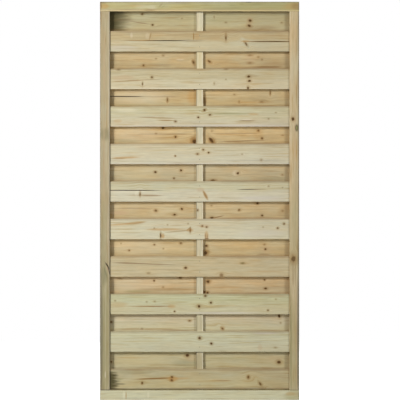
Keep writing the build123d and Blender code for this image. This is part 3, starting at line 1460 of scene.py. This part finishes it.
FRONT_TIMBER = (
    Timber(
        lower=paint(196, 185, 151), upper=paint(188, 170, 130), seed=1, edge=2.0, edge_softness=6.0,
        knots=(Knot(119, 16, 6, 20), Knot(210, -12, 19, 8, RED, -0.95)),
        streaks=(
            Streak(-308, 27, 16, 34, PALE, 0.22), Streak(-236, 24, 24, 34, PALE, 0.18),
            Streak(-223, 23, 44, 8, RESIN, 0.5, 1.33), Streak(-27, 22, 7, 44, RESIN, 0.9),
            Streak(-12, 22, 28, 40, HONEY, 0.25), Streak(119, 24, 18, 44, RESIN, 0.4),
            Streak(206, 0, 50, 14, HONEY, 0.5), Streak(-270, 4, 220, 7, RESIN, 0.7),
            Streak(-110, 3, 300, 5, DARK_BROWN, 0.3, fray=0.2), Streak(310, -1, 280, 9, RESIN, 0.8),
            Streak(385, -1, 160, 5, DARK_BROWN, 0.4, fray=0.2), Streak(-30, 1, 90, 5, BROWN, 0.5),
            Streak(-350, -30, 160, 30, LILAC, 0.3),
        ),
    ),
    Timber(
        lower=paint(205, 194, 161), upper=paint(194, 182, 146), seed=2, edge=-6.0, edge_softness=8.0,
        knots=(
            Knot(-366, 42, 12, 7, FAINT), Knot(-216, 7, 11, 9), Knot(-258, -23, 6, 16),
            Knot(120, 45, 16, 7, FAINT), Knot(222, 10, 15, 11, DARK), Knot(225, -9, 15, 10, DARK),
            Knot(219, -41, 11, 14, DARK), Knot(119, -2, 6, 5, FAINT), Knot(66, -21, 6, 11, FAINT),
        ),
        streaks=(
            Streak(-345, 6, 120, 30, ROSE, 0.45, fray=0.9), Streak(-320, -9, 190, 8, RESIN, 0.65, 0.06),
            # The pale streak along the lower edge is a painted highlight
            Streak(-210, -3, 120, 5, BROWN, 0.35, 0.05), Streak(0, -43, 1200, 8, PALE, 0.35),
        ),
    ),
    Timber(
        lower=paint(202, 192, 162), upper=paint(199, 191, 155), seed=3,
        knots=(
            Knot(22, 29, 11, 10, DARK, 0.6), Knot(47, 7, 11, 9, DARK), Knot(-6, -4, 10, 9, DARK),
            Knot(-109, -23, 11, 9), Knot(312, -11, 7, 6, FAINT), Knot(345, 17, 8, 6, FAINT),
        ),
        streaks=(
            Streak(-150, -18, 110, 7, RESIN, 0.8, -0.03), Streak(-175, -7, 220, 9, RESIN, 0.6, -0.03),
            Streak(-235, -3, 90, 6, BROWN, 0.4), Streak(213, -19, 80, 5, BROWN, 0.7),
            Streak(213, -14, 50, 8, PALE, 0.3), Streak(140, 12, 220, 11, OLIVE, 0.55),
            Streak(245, 10, 60, 14, HONEY, 0.4), Streak(330, -7, 120, 8, OLIVE, 0.3),
            # The lilac streaks along the lower edge are painted highlights
            Streak(200, -42, 560, 14, LILAC, 0.6), Streak(-200, -43, 560, 9, LILAC, 0.4),
            Streak(-370, -20, 50, 22, HONEY, 0.3), Streak(-330, 28, 130, 22, PALE, 0.3),
        ),
    ),
    Timber(
        lower=paint(206, 199, 172), upper=paint(204, 194, 162), seed=4,
        knots=(
            Knot(-110, -9, 7, 7), Knot(-9, 0, 10, 8), Knot(16, 19, 10, 9), Knot(41, 6, 10, 8, DARK),
            Knot(279, -27, 9, 10, FAINT), Knot(192, -1, 8, 6, FAINT),
        ),
        streaks=(
            Streak(-340, -17, 150, 11, HONEY, 0.6, 0.02), Streak(-370, -21, 80, 7, RESIN, 0.5),
            Streak(-250, 28, 110, 50, ROSE, 0.2), Streak(240, -29, 330, 6, GREY, 0.4),
            # The lilac streak along the lower edge is a painted highlight
            Streak(0, -43, 1200, 8, LILAC, 0.35),
        ),
    ),
    Timber(
        lower=paint(208, 201, 174), upper=paint(200, 193, 160), seed=5, edge=5.0, edge_softness=8.0,
        knots=(Knot(-269, -11, 6, 20), Knot(312, 24, 9, 8, FAINT), Knot(375, 17, 6, 5, FAINT)),
        streaks=(
            Streak(-255, -17, 220, 10, RESIN, 0.4), Streak(-215, -19, 110, 9, BROWN, 0.4),
            Streak(-285, -11, 20, 30, PALE, 0.3), Streak(-420, 5, 580, 6, DARK_BROWN, 0.6, fray=0.1),
            Streak(-330, -1, 300, 8, PALE, 0.45),
            Streak(215, 9, 120, 5, DARK_BROWN, 0.75), Streak(270, 10, 80, 5, BROWN, 0.5),
            Streak(27, -18, 60, 17, HEART, 0.85, -1.09), Streak(26, -17, 50, 8, BROWN, 0.5, -1.09),
            Streak(5, 10, 44, 26, ROSE, 0.4),
            Streak(280, -30, 260, 26, LILAC, 0.45),
        ),
    ),
    Timber(
        lower=paint(210, 203, 173), upper=paint(206, 197, 166), seed=6,
        knots=(
            Knot(-176, -30, 6, 24, DARK), Knot(-43, -8, 8, 16, FAINT), Knot(-145, 19, 7, 6, FAINT),
            Knot(-52, 24, 7, 6, FAINT), Knot(-205, 4, 6, 5, FAINT), Knot(12, 14, 9, 8), Knot(32, 9, 10, 8),
            Knot(353, 4, 10, 9), Knot(287, 9, 5, 5, FAINT), Knot(382, 24, 9, 9),
        ),
        streaks=(
            Streak(-290, 28, 130, 15, HEART, 0.75, 0.1), Streak(-275, 27, 70, 8, RESIN, 0.4, 0.12),
            Streak(-360, 21, 110, 9, HONEY, 0.5, 0.08), Streak(-150, -2, 220, 14, HONEY, 0.55),
            Streak(-95, -10, 140, 9, RESIN, 0.55, 0.08), Streak(-43, -4, 40, 20, HONEY, 0.5),
            Streak(-42, -4, 10, 36, RESIN, 0.7), Streak(-48, 2, 30, 8, RESIN, 0.5, 0.7),
            Streak(-166, -31, 20, 30, HONEY, 0.6), Streak(31, -30, 24, 46, HONEY, 0.6),
            Streak(27, -34, 6, 34, BROWN, 0.6), Streak(35, -36, 6, 30, BROWN, 0.5),
            Streak(32, -44, 24, 10, BROWN, 0.6), Streak(20, 14, 70, 20, ROSE, 0.4),
            Streak(280, -20, 260, 40, LILAC, 0.3),
        ),
    ),
    Timber(
        lower=paint(198, 184, 147), upper=paint(197, 181, 143), seed=7,
        knots=(
            Knot(-63, -6, 13, 11, DARK), Knot(-231, -30, 14, 7, FAINT), Knot(194, 15, 15, 7, FAINT),
            Knot(99, -38, 14, 14, FAINT),
        ),
        streaks=(
            Streak(-310, 15, 230, 9, BROWN, 0.65, -0.03), Streak(-170, 9, 200, 8, BROWN, 0.5, -0.02),
            Streak(194, 15, 26, 10, OLIVE, 0.5), Streak(99, -40, 20, 16, BROWN, 0.4),
            Streak(-60, 28, 150, 8, OLIVE, 0.25), Streak(300, -22, 200, 10, HONEY, 0.25),
            Streak(-150, -14, 200, 6, BROWN, 0.25),
        ),
    ),
    Timber(
        lower=paint(200, 192, 156), upper=paint(195, 193, 155), seed=8,
        knots=(
            Knot(-3, -10, 12, 12, DARK), Knot(-113, -33, 9, 8, DARK), Knot(26, 37, 13, 11),
            Knot(51, 6, 13, 12, DARK), Knot(309, -28, 9, 8), Knot(345, 22, 8, 6, FAINT),
            Knot(-382, 15, 8, 7, FAINT), Knot(-239, 10, 8, 6, FAINT), Knot(-203, 12, 8, 6, FAINT),
        ),
        streaks=(
            Streak(-225, -10, 240, 7, RESIN, 0.8), Streak(-190, -10, 150, 5, BROWN, 0.5),
            Streak(-128, -10, 44, 20, HONEY, 0.4),
            Streak(-365, -2, 110, 30, HONEY, 0.3), Streak(100, -8, 260, 5, HONEY, 0.35),
            # The lilac streak along the lower edge is a painted highlight
            Streak(120, 18, 200, 5, OLIVE, 0.35), Streak(100, -40, 420, 12, LILAC, 0.5),
            Streak(350, 36, 120, 12, HONEY, 0.25),
        ),
    ),
    Timber(
        lower=paint(200, 195, 163), upper=paint(201, 198, 165), seed=9,
        knots=(Knot(0, 16, 13, 13, DARK), Knot(53, -8, 13, 12, DARK), Knot(343, -27, 12, 6, FAINT)),
        streaks=(
            Streak(273, -25, 26, 40, ROSE, 0.35), Streak(300, 38, 130, 14, LILAC, 0.45),
            Streak(100, -11, 330, 4, GREY, 0.35), Streak(240, 2, 300, 4, GREY, 0.3),
        ),
    ),
    Timber(
        lower=paint(193, 180, 137), upper=paint(187, 175, 137), seed=10,
        knots=(
            Knot(-125, 10, 11, 10), Knot(-126, -5, 11, 10), Knot(-260, -17, 10, 9, DARK),
            Knot(220, 9, 9, 14), Knot(274, -21, 20, 10, RED, -0.9),
        ),
        streaks=(
            Streak(-205, 3, 220, 11, RESIN, 0.85, 0.04), Streak(-200, 3, 150, 6, BROWN, 0.6, 0.03),
            Streak(-120, 3, 60, 28, HONEY, 0.6), Streak(-80, 4, 80, 12, HONEY, 0.4),
            Streak(-260, -17, 10, 24, RESIN, 0.5), Streak(92, -7, 120, 16, HONEY, 0.25),
            Streak(110, -7, 90, 4, BROWN, 0.5), Streak(220, 9, 30, 24, RESIN, 0.3),
        ),
        stains_and_shade=(
            Streak(-408, -8, 104, 120, ALGAE, 0.95, fray=1.0), Streak(-360, -22, 60, 12, ALGAE, 0.45),
            Streak(-362, 0, 50, 8, OLIVE, 0.5), Streak(-310, 34, 300, 26, GREY_GREEN, 0.2, fray=0.9),
            # The long dark streaks at the lower edge are painted shade next to the bottom rail
            Streak(360, -10, 170, 90, BROWN, 0.12), Streak(0, -46, 3000, 16, DARK_BROWN, 0.5),
            Streak(200, -38, 600, 12, BROWN, 0.3),
        ),
    ),
)

# On most back slats the lower colour is darker than the upper: painted shade, low on the face above the
# front slat below
BACK_TIMBER = (
    Timber(
        lower=paint(183, 170, 130), upper=paint(177, 168, 130), seed=21,
        knots=(
            Knot(-260, 35), Knot(-213, -14, 11, 9, DARK), Knot(-80, 15, 8, 6, FAINT),
            Knot(66, 21, 5, 12, FAINT), Knot(119, -3, 9, 6, FAINT), Knot(228, 5, 16, 13, DARK),
            Knot(225, -18, 17, 12, DARK, -0.2), Knot(372, -4, 8, 6, FAINT),
        ),
        streaks=(
            # The straw streak along the top edge is painted light, lightening the shadow under the top rail
            Streak(-268, -5, 115, 6, BROWN, 0.6, -0.15), Streak(0, 41, 3000, 14, STRAW, 0.6),
            Streak(226, -3, 40, 60, ROSE, 0.3), Streak(260, -24, 230, 24, BROWN, 0.25),
            Streak(90, 4, 160, 12, OLIVE, 0.2),
        ),
        stains_and_shade=(
            Streak(-415, 0, 130, 260, ALGAE, 0.95), Streak(-376, 4, 90, 200, ALGAE, 0.5, fray=1.0),
            Streak(-345, 8, 130, 20, BROWN, 0.35), Streak(-366, 4, 130, 160, ALGAE, 0.45, fray=0.8),
        ),
    ),
    Timber(
        lower=paint(182, 162, 120), upper=paint(194, 173, 131), seed=22,
        knots=(
            Knot(-165, 22, 9, 8, FAINT), Knot(-197, 8, 8, 6, FAINT), Knot(-254, -23, 8, 8),
            Knot(-28, -9, 9, 18, RED, 0.4), Knot(44, -5, 17, 11, RED, -0.6), Knot(228, 23, 18, 7, FAINT),
            Knot(228, -12, 20, 9, FAINT), Knot(265, 15, 8, 7, FAINT), Knot(283, 3, 8, 7, FAINT),
        ),
        streaks=(
            Streak(-88, 3, 44, 10, PALE, 0.25), Streak(-88, -2, 44, 4, BROWN, 0.4),
            Streak(300, -30, 180, 9, BROWN, 0.75), Streak(228, 6, 60, 50, ROSE, 0.35),
            Streak(-8, 38, 20, 16, DARK_BROWN, 0.6), Streak(-28, -9, 24, 40, RESIN, 0.35),
            Streak(-180, -20, 170, 6, BROWN, 0.3), Streak(330, -20, 160, 30, BROWN, 0.25),
        ),
    ),
    Timber(
        lower=paint(184, 164, 121), upper=paint(196, 174, 130), seed=23,
        knots=(
            Knot(-146, -10, 6, 16), Knot(320, 22, 6, 18), Knot(281, -18, 16, 8, FAINT),
            Knot(179, -18, 6, 10, FAINT), Knot(157, 15, 8, 6, FAINT),
        ),
        streaks=(
            Streak(-30, 0, 60, 100, HONEY, 0.45), Streak(-170, 5, 220, 7, BROWN, 0.45),
            Streak(-320, 6, 220, 9, RESIN, 0.4), Streak(-430, 6, 420, 7, DARK_BROWN, 0.6, fray=0.1),
            Streak(24, -18, 14, 56, DARK_BROWN, 0.8),
            Streak(24, -10, 24, 60, RESIN, 0.5), Streak(-12, 20, 16, 50, RESIN, 0.5),
            Streak(250, -20, 200, 8, HONEY, 0.3), Streak(-300, -34, 200, 14, OLIVE, 0.3),
            # The broad pale patch over the left third is painted light, brighter where the key light at the
            # left falls
            Streak(-270, 4, 300, 90, PALE, 0.2),
        ),
    ),
    Timber(
        lower=paint(193, 170, 125), upper=paint(208, 182, 134), seed=24,
        knots=(
            Knot(-166, 33, 14, 10, DARK), Knot(-197, 8, 9, 7, FAINT), Knot(-109, -7, 9, 9, DARK),
            Knot(-24, -28, 20, 22, DARK, 0.5), Knot(52, -22, 32, 14, DARK, -0.9), Knot(266, 21),
            Knot(283, -14, 11, 10), Knot(376, 0, 12, 6, FAINT), Knot(55, 19, 8, 7, FAINT),
        ),
        streaks=(
            Streak(-150, 6, 320, 9, BROWN, 0.35), Streak(-90, 4, 180, 8, RESIN, 0.35),
            Streak(160, 8, 280, 8, BROWN, 0.4), Streak(230, -2, 180, 6, RESIN, 0.3),
            Streak(56, -24, 50, 34, RESIN, 0.6), Streak(183, -26, 270, 7, BROWN, 0.7, 0.03),
            Streak(-30, -20, 36, 34, RESIN, 0.5),
            Streak(266, 4, 60, 60, HONEY, 0.3), Streak(-330, -28, 160, 26, GREY_GREEN, 0.25),
            # The broad lilac patch over the left third is painted light, brighter where the key light at
            # the left falls
            Streak(-290, 4, 280, 90, LILAC, 0.12),
        ),
    ),
    Timber(
        lower=paint(184, 169, 133), upper=paint(194, 176, 138), seed=25,
        knots=(
            Knot(-200, 3, 12, 10, DARK), Knot(-84, 11, 12, 11, DARK), Knot(173, -2, 14, 11, DARK, 0.4),
            Knot(-116, -25, 8, 8), Knot(375, -9, 9, 8, FAINT), Knot(60, -34, 24, 9),
        ),
        streaks=(
            Streak(165, -2, 40, 30, PALE, 0.22), Streak(-150, -28, 300, 6, GREY, 0.3),
            Streak(330, -26, 160, 20, GREY_GREEN, 0.25), Streak(330, 24, 160, 8, HONEY, 0.3),
            # The broad straw patch over the left third is painted light, brighter where the key light at
            # the left falls
            Streak(-290, 4, 260, 90, STRAW, 0.15),
        ),
    ),
    Timber(
        lower=paint(190, 170, 129), upper=paint(202, 180, 137), seed=26,
        knots=(
            Knot(-198, -2, 14, 11), Knot(-80, 6, 12, 10, DARK), Knot(-113, -20, 13, 9, DARK),
            Knot(262, 31, 14, 11, DARK), Knot(179, 1, 10, 9), Knot(283, -24, 11, 9, DARK),
            Knot(376, -3, 10, 9, FAINT), Knot(55, -34, 20, 10, DARK), Knot(54, 21, 9, 7, FAINT),
        ),
        streaks=(
            Streak(-360, -12, 100, 24, ROSE, 0.7), Streak(85, -30, 66, 6, BROWN, 0.9, 0.2),
            Streak(-300, 8, 200, 8, BROWN, 0.25), Streak(376, -10, 60, 60, RESIN, 0.25),
        ),
    ),
    Timber(
        lower=paint(192, 171, 127), upper=paint(205, 182, 136), seed=27,
        knots=(
            Knot(-319, -12, 8, 7), Knot(-205, 14, 8, 7), Knot(-356, 19, 6, 6, FAINT),
            Knot(-164, -4, 8, 7, FAINT), Knot(-85, 20, 10, 8), Knot(31, 9, 14, 11, DARK),
            Knot(28, -23, 17, 18, DARK), Knot(294, 15, 8, 7, FAINT), Knot(298, -6, 9, 9, DARK),
        ),
        streaks=(
            Streak(30, -8, 40, 70, RESIN, 0.4), Streak(305, -8, 60, 50, ROSE, 0.25),
            Streak(290, -30, 80, 12, BROWN, 0.35), Streak(-200, -27, 220, 8, BROWN, 0.25),
            # The broad pale patch over the left third is painted light, brighter where the key light at the
            # left falls
            Streak(100, 10, 200, 8, HONEY, 0.25), Streak(-270, 4, 320, 90, PALE, 0.15),
        ),
    ),
    Timber(
        lower=paint(190, 168, 128), upper=paint(203, 179, 137), seed=28,
        knots=(
            Knot(-362, 31, 18, 8, FAINT), Knot(-206, 20, 8, 9, DARK), Knot(-87, 33, 18, 9),
            Knot(-165, -9, 9, 7, FAINT), Knot(38, 16, 18, 14, DARK), Knot(22, -31, 10, 10, DARK),
            Knot(36, -34, 10, 10, DARK), Knot(294, 24, 11, 8, DARK), Knot(299, -15, 14, 9, DARK),
        ),
        streaks=(
            Streak(-150, -19, 330, 14, RESIN, 0.45), Streak(-280, -28, 160, 14, OLIVE, 0.45),
            Streak(38, 16, 30, 30, RESIN, 0.35), Streak(28, -32, 50, 20, RESIN, 0.4),
            # The broad pale patch over the left third is painted light, brighter where the key light at the
            # left falls
            Streak(120, -10, 200, 7, HONEY, 0.3), Streak(-270, 8, 320, 80, PALE, 0.15),
        ),
    ),
    Timber(
        lower=paint(196, 188, 153), upper=paint(200, 187, 155), seed=29,
        knots=(
            Knot(-45, 9, 12, 8), Knot(-261, -28, 10, 7, FAINT), Knot(104, -27, 15, 9, RED, -0.7),
            Knot(361, 30, 12, 16, DARK), Knot(367, -1, 8, 7, FAINT), Knot(-400, 3, 9, 9, DARK),
        ),
        streaks=(
            Streak(-250, -29, 340, 9, RESIN, 0.6), Streak(-110, -34, 260, 7, BROWN, 0.4),
            Streak(-100, 30, 560, 14, ROSE, 0.35), Streak(200, 28, 300, 10, ROSE, 0.3),
            Streak(104, -24, 30, 30, HONEY, 0.3),
        ),
    ),
    Timber(
        lower=paint(188, 177, 138), upper=paint(188, 177, 138), seed=30,
        knots=(Knot(-56, 21, 18, 16, DARK), Knot(359, -9, 19, 15, DARK), Knot(-400, -8, 9, 8, DARK)),
        streaks=(
            Streak(150, 34, 260, 6, RESIN, 0.4), Streak(-60, -16, 160, 40, GREY_GREEN, 0.25),
            Streak(-300, 10, 200, 8, HONEY, 0.25), Streak(-40, 6, 60, 40, ROSE, 0.25),
            Streak(340, 6, 80, 40, ROSE, 0.2), Streak(120, 8, 330, 7, OLIVE, 0.3),
            # The broad straw patch over the left third is painted light, brighter where the key light at
            # the left falls
            Streak(-260, 6, 260, 60, STRAW, 0.18),
        ),
    ),
)

STRIP_TIMBER = Timber(lower=paint(186, 174, 134), upper=paint(186, 174, 134), seed=31)

FRAME_EDGE = 22.0  # half the width of a frame piece's face, and half its depth, in mm
BATTEN_EDGE = 15.0  # half the batten's width, in mm
BATTEN_FACE = -7.0  # depth of the batten's front face from its middle, in mm

FRAME_TIMBER = {
    "top_rail": Timber(
        lower=paint(184, 168, 130), upper=paint(182, 174, 126), seed=41, edge=-12.0, edge_softness=8.0,
        pith_depth=40.0,
        streaks=(
            Streak(-176, 6, 34, 10, BROWN, 0.35, 0.8), Streak(-165, 0, 30, 6, OLIVE, 0.4, 0.5),
            Streak(-262, 0, 70, 22, PALE, 0.2, fray=0.9), Streak(-216, -2, 60, 24, PALE, 0.25, fray=0.9),
            Streak(-290, 4, 110, 12, HONEY, 0.25), Streak(-130, -16, 420, 10, ROSE, 0.3),
            Streak(-120, 15, 160, 9, GREY, 0.35), Streak(60, 14, 240, 8, GREY, 0.3),
            Streak(120, -8, 260, 8, OLIVE, 0.25), Streak(150, 6, 50, 10, GREY_GREEN, 0.3, fray=0.9),
            Streak(260, 8, 90, 12, GREY_GREEN, 0.25, fray=0.9), Streak(300, -12, 160, 9, ROSE, 0.3),
            Streak(190, 11, 30, 8, OLIVE, 0.5),
            Streak(330, 0, 760, 90, OLIVE, 0.35), Streak(-430, 0, 44, 30, HONEY, 0.5, fray=0.9),
            Streak(-447, 6, 14, 60, BROWN, 0.6), Streak(-438, 16, 40, 14, BROWN, 0.35),
            Streak(430, 2, 130, 44, HONEY, 0.35, fray=0.7), Streak(440, 2, 60, 40, BROWN, 0.35),
            Streak(449, 0, 10, 80, DARK_GREY, 0.5), Streak(-226, -18, 64, 12, BROWN, 0.7),
            Streak(222, 20, 34, 8, DARK_BROWN, 0.6),
        ),
        arrises=(
            # The straw arris on the lower edge is a painted highlight on its rounding; the dark grey one
            # darkens the top edge
            Arris(FRAME_EDGE, -FRAME_EDGE, 7, DARK_GREY, 0.4), Arris(-FRAME_EDGE, -FRAME_EDGE, 8, STRAW, 0.55),
        ),
    ),
    "bottom_rail": Timber(
        lower=paint(204, 200, 166), upper=paint(204, 200, 166), seed=42, pith_depth=44.0,
        streaks=(
            Streak(-332, -2, 9, 44, HEART, 0.6), Streak(-342, 0, 14, 44, PALE, 0.35),
            Streak(-232, 2, 14, 40, PALE, 0.3), Streak(425, 0, 90, 70, OLIVE, 0.35, fray=0.9),
            Streak(436, 6, 40, 30, HONEY, 0.15), Streak(408, 8, 50, 22, HONEY, 0.35, fray=0.9),
            Streak(449, 0, 9, 90, DARK_GREY, 0.5), Streak(-449, 0, 7, 90, DARK_GREY, 0.3),
        ),
    ),
    "left_stile": Timber(
        lower=paint(178, 164, 130), upper=paint(183, 169, 136), seed=43, edge=8.0, edge_softness=8.0,
        pith_depth=42.0, line_contrast=0.8,
        streaks=(
            Streak(300, 0, 70, 60, GREY_GREEN, 0.4), Streak(-620, 0, 820, 70, OLIVE, 0.42, fray=0.8),
            Streak(200, -4, 500, 14, ROSE, 0.35), Streak(600, -2, 400, 12, ROSE, 0.3),
            Streak(-600, -16, 800, 20, DARK_GREY, 0.5), Streak(-854, 0, 9, 90, DARK_GREY, 0.5),
            Streak(-340, -2, 110, 36, GREY_GREEN, 0.4, fray=1.0),
            Streak(-294, 12, 50, 8, DARK_BROWN, 0.85, -0.55), Streak(-315, 18, 46, 7, DARK_BROWN, 0.8, -0.31),
            Streak(-306, 12, 36, 6, ROSE, 0.5, -0.4), Streak(-320, 2, 60, 10, GREY_GREEN, 0.4, -0.3),
            Streak(-785, 2, 40, 8, PALE, 0.35), Streak(-620, 3, 700, 8, PALE, 0.15),
            # The pale streak along the inner edge, in the upper half, is a painted highlight
            Streak(-150, -8, 420, 44, OLIVE, 0.2), Streak(450, 20, 1000, 6, PALE, 0.35),
        ),
        arrises=(
            Arris(-FRAME_EDGE, -FRAME_EDGE, 8, DARK_GREY, 0.3), Arris(FRAME_EDGE, -FRAME_EDGE, 6, GREY, 0.3),
        ),
    ),
    "right_stile": Timber(
        lower=paint(203, 185, 148), upper=paint(192, 174, 136), seed=44, edge=-8.0, edge_softness=8.0,
        pith_depth=42.0, line_contrast=0.8,
        knots=(Knot(370, -6, 18, 14, DARK), Knot(-262, -4, 30, 22)),
        streaks=(
            Streak(-700, 0, 640, 70, OLIVE, 0.36, fray=0.8), Streak(-650, -14, 640, 14, OLIVE, 0.3),
            Streak(-600, 17, 800, 18, DARK_GREY, 0.5), Streak(-500, 6, 500, 6, RESIN, 0.22),
            Streak(-854, 0, 9, 90, DARK_GREY, 0.3), Streak(-150, 0, 460, 80, OLIVE, 0.22),
            Streak(300, 2, 500, 12, ROSE, 0.3), Streak(700, 4, 300, 10, ROSE, 0.3),
            Streak(330, 11, 42, 19, ALGAE, 0.85, fray=0.2), Streak(330, 11, 24, 8, OLIVE, 0.9, fray=0.2),
            Streak(-330, -6, 130, 6, BROWN, 0.5), Streak(-335, 4, 130, 6, BROWN, 0.4),
            Streak(-620, -16, 800, 10, GREY_GREEN, 0.35), Streak(-620, 10, 800, 7, ROSE, 0.4),
        ),
        arrises=(
            Arris(FRAME_EDGE, -FRAME_EDGE, 9, DARK_GREY, 0.55), Arris(-FRAME_EDGE, -FRAME_EDGE, 3, BROWN, 0.25),
        ),
    ),
}

FILLET_TIMBER = Timber(lower=paint(204, 192, 158), upper=paint(204, 192, 158), seed=52, pith_depth=30.0)

UPRIGHT_TIMBER = {
    "centre_batten": Timber(
        lower=paint(208, 199, 168), upper=paint(208, 199, 168), seed=51, pith_depth=30.0,
        knots=(Knot(-41, -9, 10, 9),),
        streaks=(
            Streak(-740, 0, 170, 70, RESIN, 0.3), Streak(-740, 0, 170, 70, OLIVE, 0.25),
            Streak(-570, 0, 160, 70, OLIVE, 0.25),
            Streak(640, 0, 420, 70, STRAW, 0.3), Streak(-400, 4, 700, 8, GREY, 0.25),
            Streak(100, -6, 900, 5, ROSE, 0.25),
        ),
        arrises=(
            # A painted shadow along the left edge of the front face, and a painted highlight along the
            # right edge
            Arris(-BATTEN_EDGE, BATTEN_FACE, 5, DARK_BROWN, 0.4), Arris(BATTEN_EDGE, BATTEN_FACE, 5, PALE, 0.5),
        ),
    ),
    "left_fillet": FILLET_TIMBER,
    "right_fillet": replace(FILLET_TIMBER, seed=53),
}

# Painted shade and shadows that every slat of a layer has, and the painted shade at its left and right end
FRONT_PAINTED_SHADE = (
    # The stiles' shadows on the slat ends, shade along the top edge, deeper to the right, and a darker
    # right part where less light falls
    Streak(-404.5, 0, 10, 900, DARK_BROWN, 0.42, fray=0.1), Streak(403.5, 0, 12, 900, DARK_BROWN, 0.18, fray=0.1),
    Streak(0, 46.5, 3000, 20, BROWN, 0.32), Streak(260, 45, 420, 22, BROWN, 0.14),
    Streak(350, 0, 270, 900, BROWN, 0.08),
)
BACK_PAINTED_SHADE = (
    # The batten's and the right stile's shadows, a darker right part where less light falls, and shade low
    # on the face above the front slat below, deeper to the right
    Streak(24.5, 0, 12, 900, DARK_BROWN, 0.22, fray=0.1), Streak(-20, 0, 14, 900, DARK_BROWN, 0.14, fray=0.1),
    Streak(403, 0, 40, 900, BROWN, 0.15), Streak(350, 0, 270, 900, BROWN, 0.09),
    Streak(0, -38, 3000, 17, BROWN, 0.26), Streak(240, -38, 400, 17, BROWN, 0.2),
)
FRONT_END_SHADE = (0.0, 0.0)
BACK_END_SHADE = (0.5, 0.35)

FRONT_SPLITS = {
    1: (
        Split(-251, -50, 3, opening=2.0, widest=0.6),
        Split(217, 404, -1, opening=1.6, widest=0.85),
    ),
    5: (Split(-412, -161, 5, opening=1.9, widest=0.35),),
}
BACK_SPLITS = {3: (Split(-412, -250, 6, opening=1.8, widest=0.4),)}

SCOOP_FRONT = -0.0225  # Y of the hollows' middles, just in front of the frame's face
RAIL_SCOOPS = (
    Scoop(place=(-0.226, SCOOP_FRONT, 1.7555), size=(46, 9, 7), seed=3),
    Scoop(place=(0.222, SCOOP_FRONT, 1.8), size=(30, 7, 5), seed=4),
)
STILE_SCOOPS = (Scoop(place=(-0.4145, SCOOP_FRONT, 0.604), size=(6, 5, 48), turn=0.5, seed=5),)


def slat_name(side: str, number: int) -> str:
    """Name of a slat's CAD node, by its layer and its number from the top."""
    return f"{side}_slat_{number:02d}"


def slat_set(
    side: str,
    timbers: tuple[Timber, ...],
    marks: tuple[Streak, ...],
    shade: tuple[float, float],
    splits: dict[int, tuple[Split, ...]],
) -> BoardSet:
    """Put one layer of slats together.

    Args:
        side: "front" or "back".
        timbers: Finishes from the top slat down.
        marks: Painted shade and shadows on the front face of every slat of the layer.
        shade: How much painted shade darkens the slats' left and right ends, beside the stiles, from 0 to
            1.
        splits: Splits by the slat's number.

    Returns:
        The layer.
    """
    boards = tuple(
        Board(
            slat_name(side, number), f"{side}_slat_timber",
            replace(timber, stains_and_shade=timber.stains_and_shade + marks, end_shade=shade),
            splits=splits.get(number, ()),
        )
        for number, timber in enumerate(timbers, start=1)
    )
    return BoardSet(f"{side} slats", boards)


def frame_set() -> BoardSet:
    """Put the frame together."""
    scoops = {"top_rail": RAIL_SCOOPS, "left_stile": STILE_SCOOPS}
    boards = tuple(
        Board(
            node, "frame_timber", timber,
            way=GrainWay.LEVEL if node.endswith("rail") else GrainWay.UPRIGHT,
            scoops=scoops.get(node, ()),
        )
        for node, timber in FRAME_TIMBER.items()
    )
    return BoardSet("frame", boards)


def upright_set() -> BoardSet:
    """Put the batten and the fillets together."""
    boards = tuple(
        Board(node, "upright_timber", timber, way=GrainWay.UPRIGHT)
        for node, timber in UPRIGHT_TIMBER.items()
    )
    return BoardSet("uprights", boards)


def strip_set() -> BoardSet:
    """Put the strip that closes the bottom gap in its place."""
    return BoardSet("bottom strip", (Board("bottom_strip", "back_slat_timber", STRIP_TIMBER),))


def main() -> None:
    """Build the panel's sub-assemblies in order, then the studio."""
    logging.basicConfig(level=logging.INFO, format="%(name)s %(message)s")
    groups = WoodGroups()
    sets = (
        frame_set(),
        upright_set(),
        strip_set(),
        slat_set("back", BACK_TIMBER, BACK_PAINTED_SHADE, BACK_END_SHADE, BACK_SPLITS),
        slat_set("front", FRONT_TIMBER, FRONT_PAINTED_SHADE, FRONT_END_SHADE, FRONT_SPLITS),
    )
    for boards in sets:
        boards.make(groups)
    steel = GalvanisedSteel().material()
    nailed = (("front", FRONT_TIMBER, -1, ""), ("back", BACK_TIMBER, 1, "bottom_strip"))
    for side, timbers, outward, strip in nailed:
        slats = tuple(slat_name(side, number) for number, _ in enumerate(timbers, start=1))
        SlatNails(f"{side}_slat_pins", slats, outward, strip).make(steel)
    corner_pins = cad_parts["corner_pins"]
    Bench.dress(corner_pins, steel)
    LOG.info("corner pins: %s", corner_pins.name)
    Studio().make()


if __name__ == "__main__":
    main()
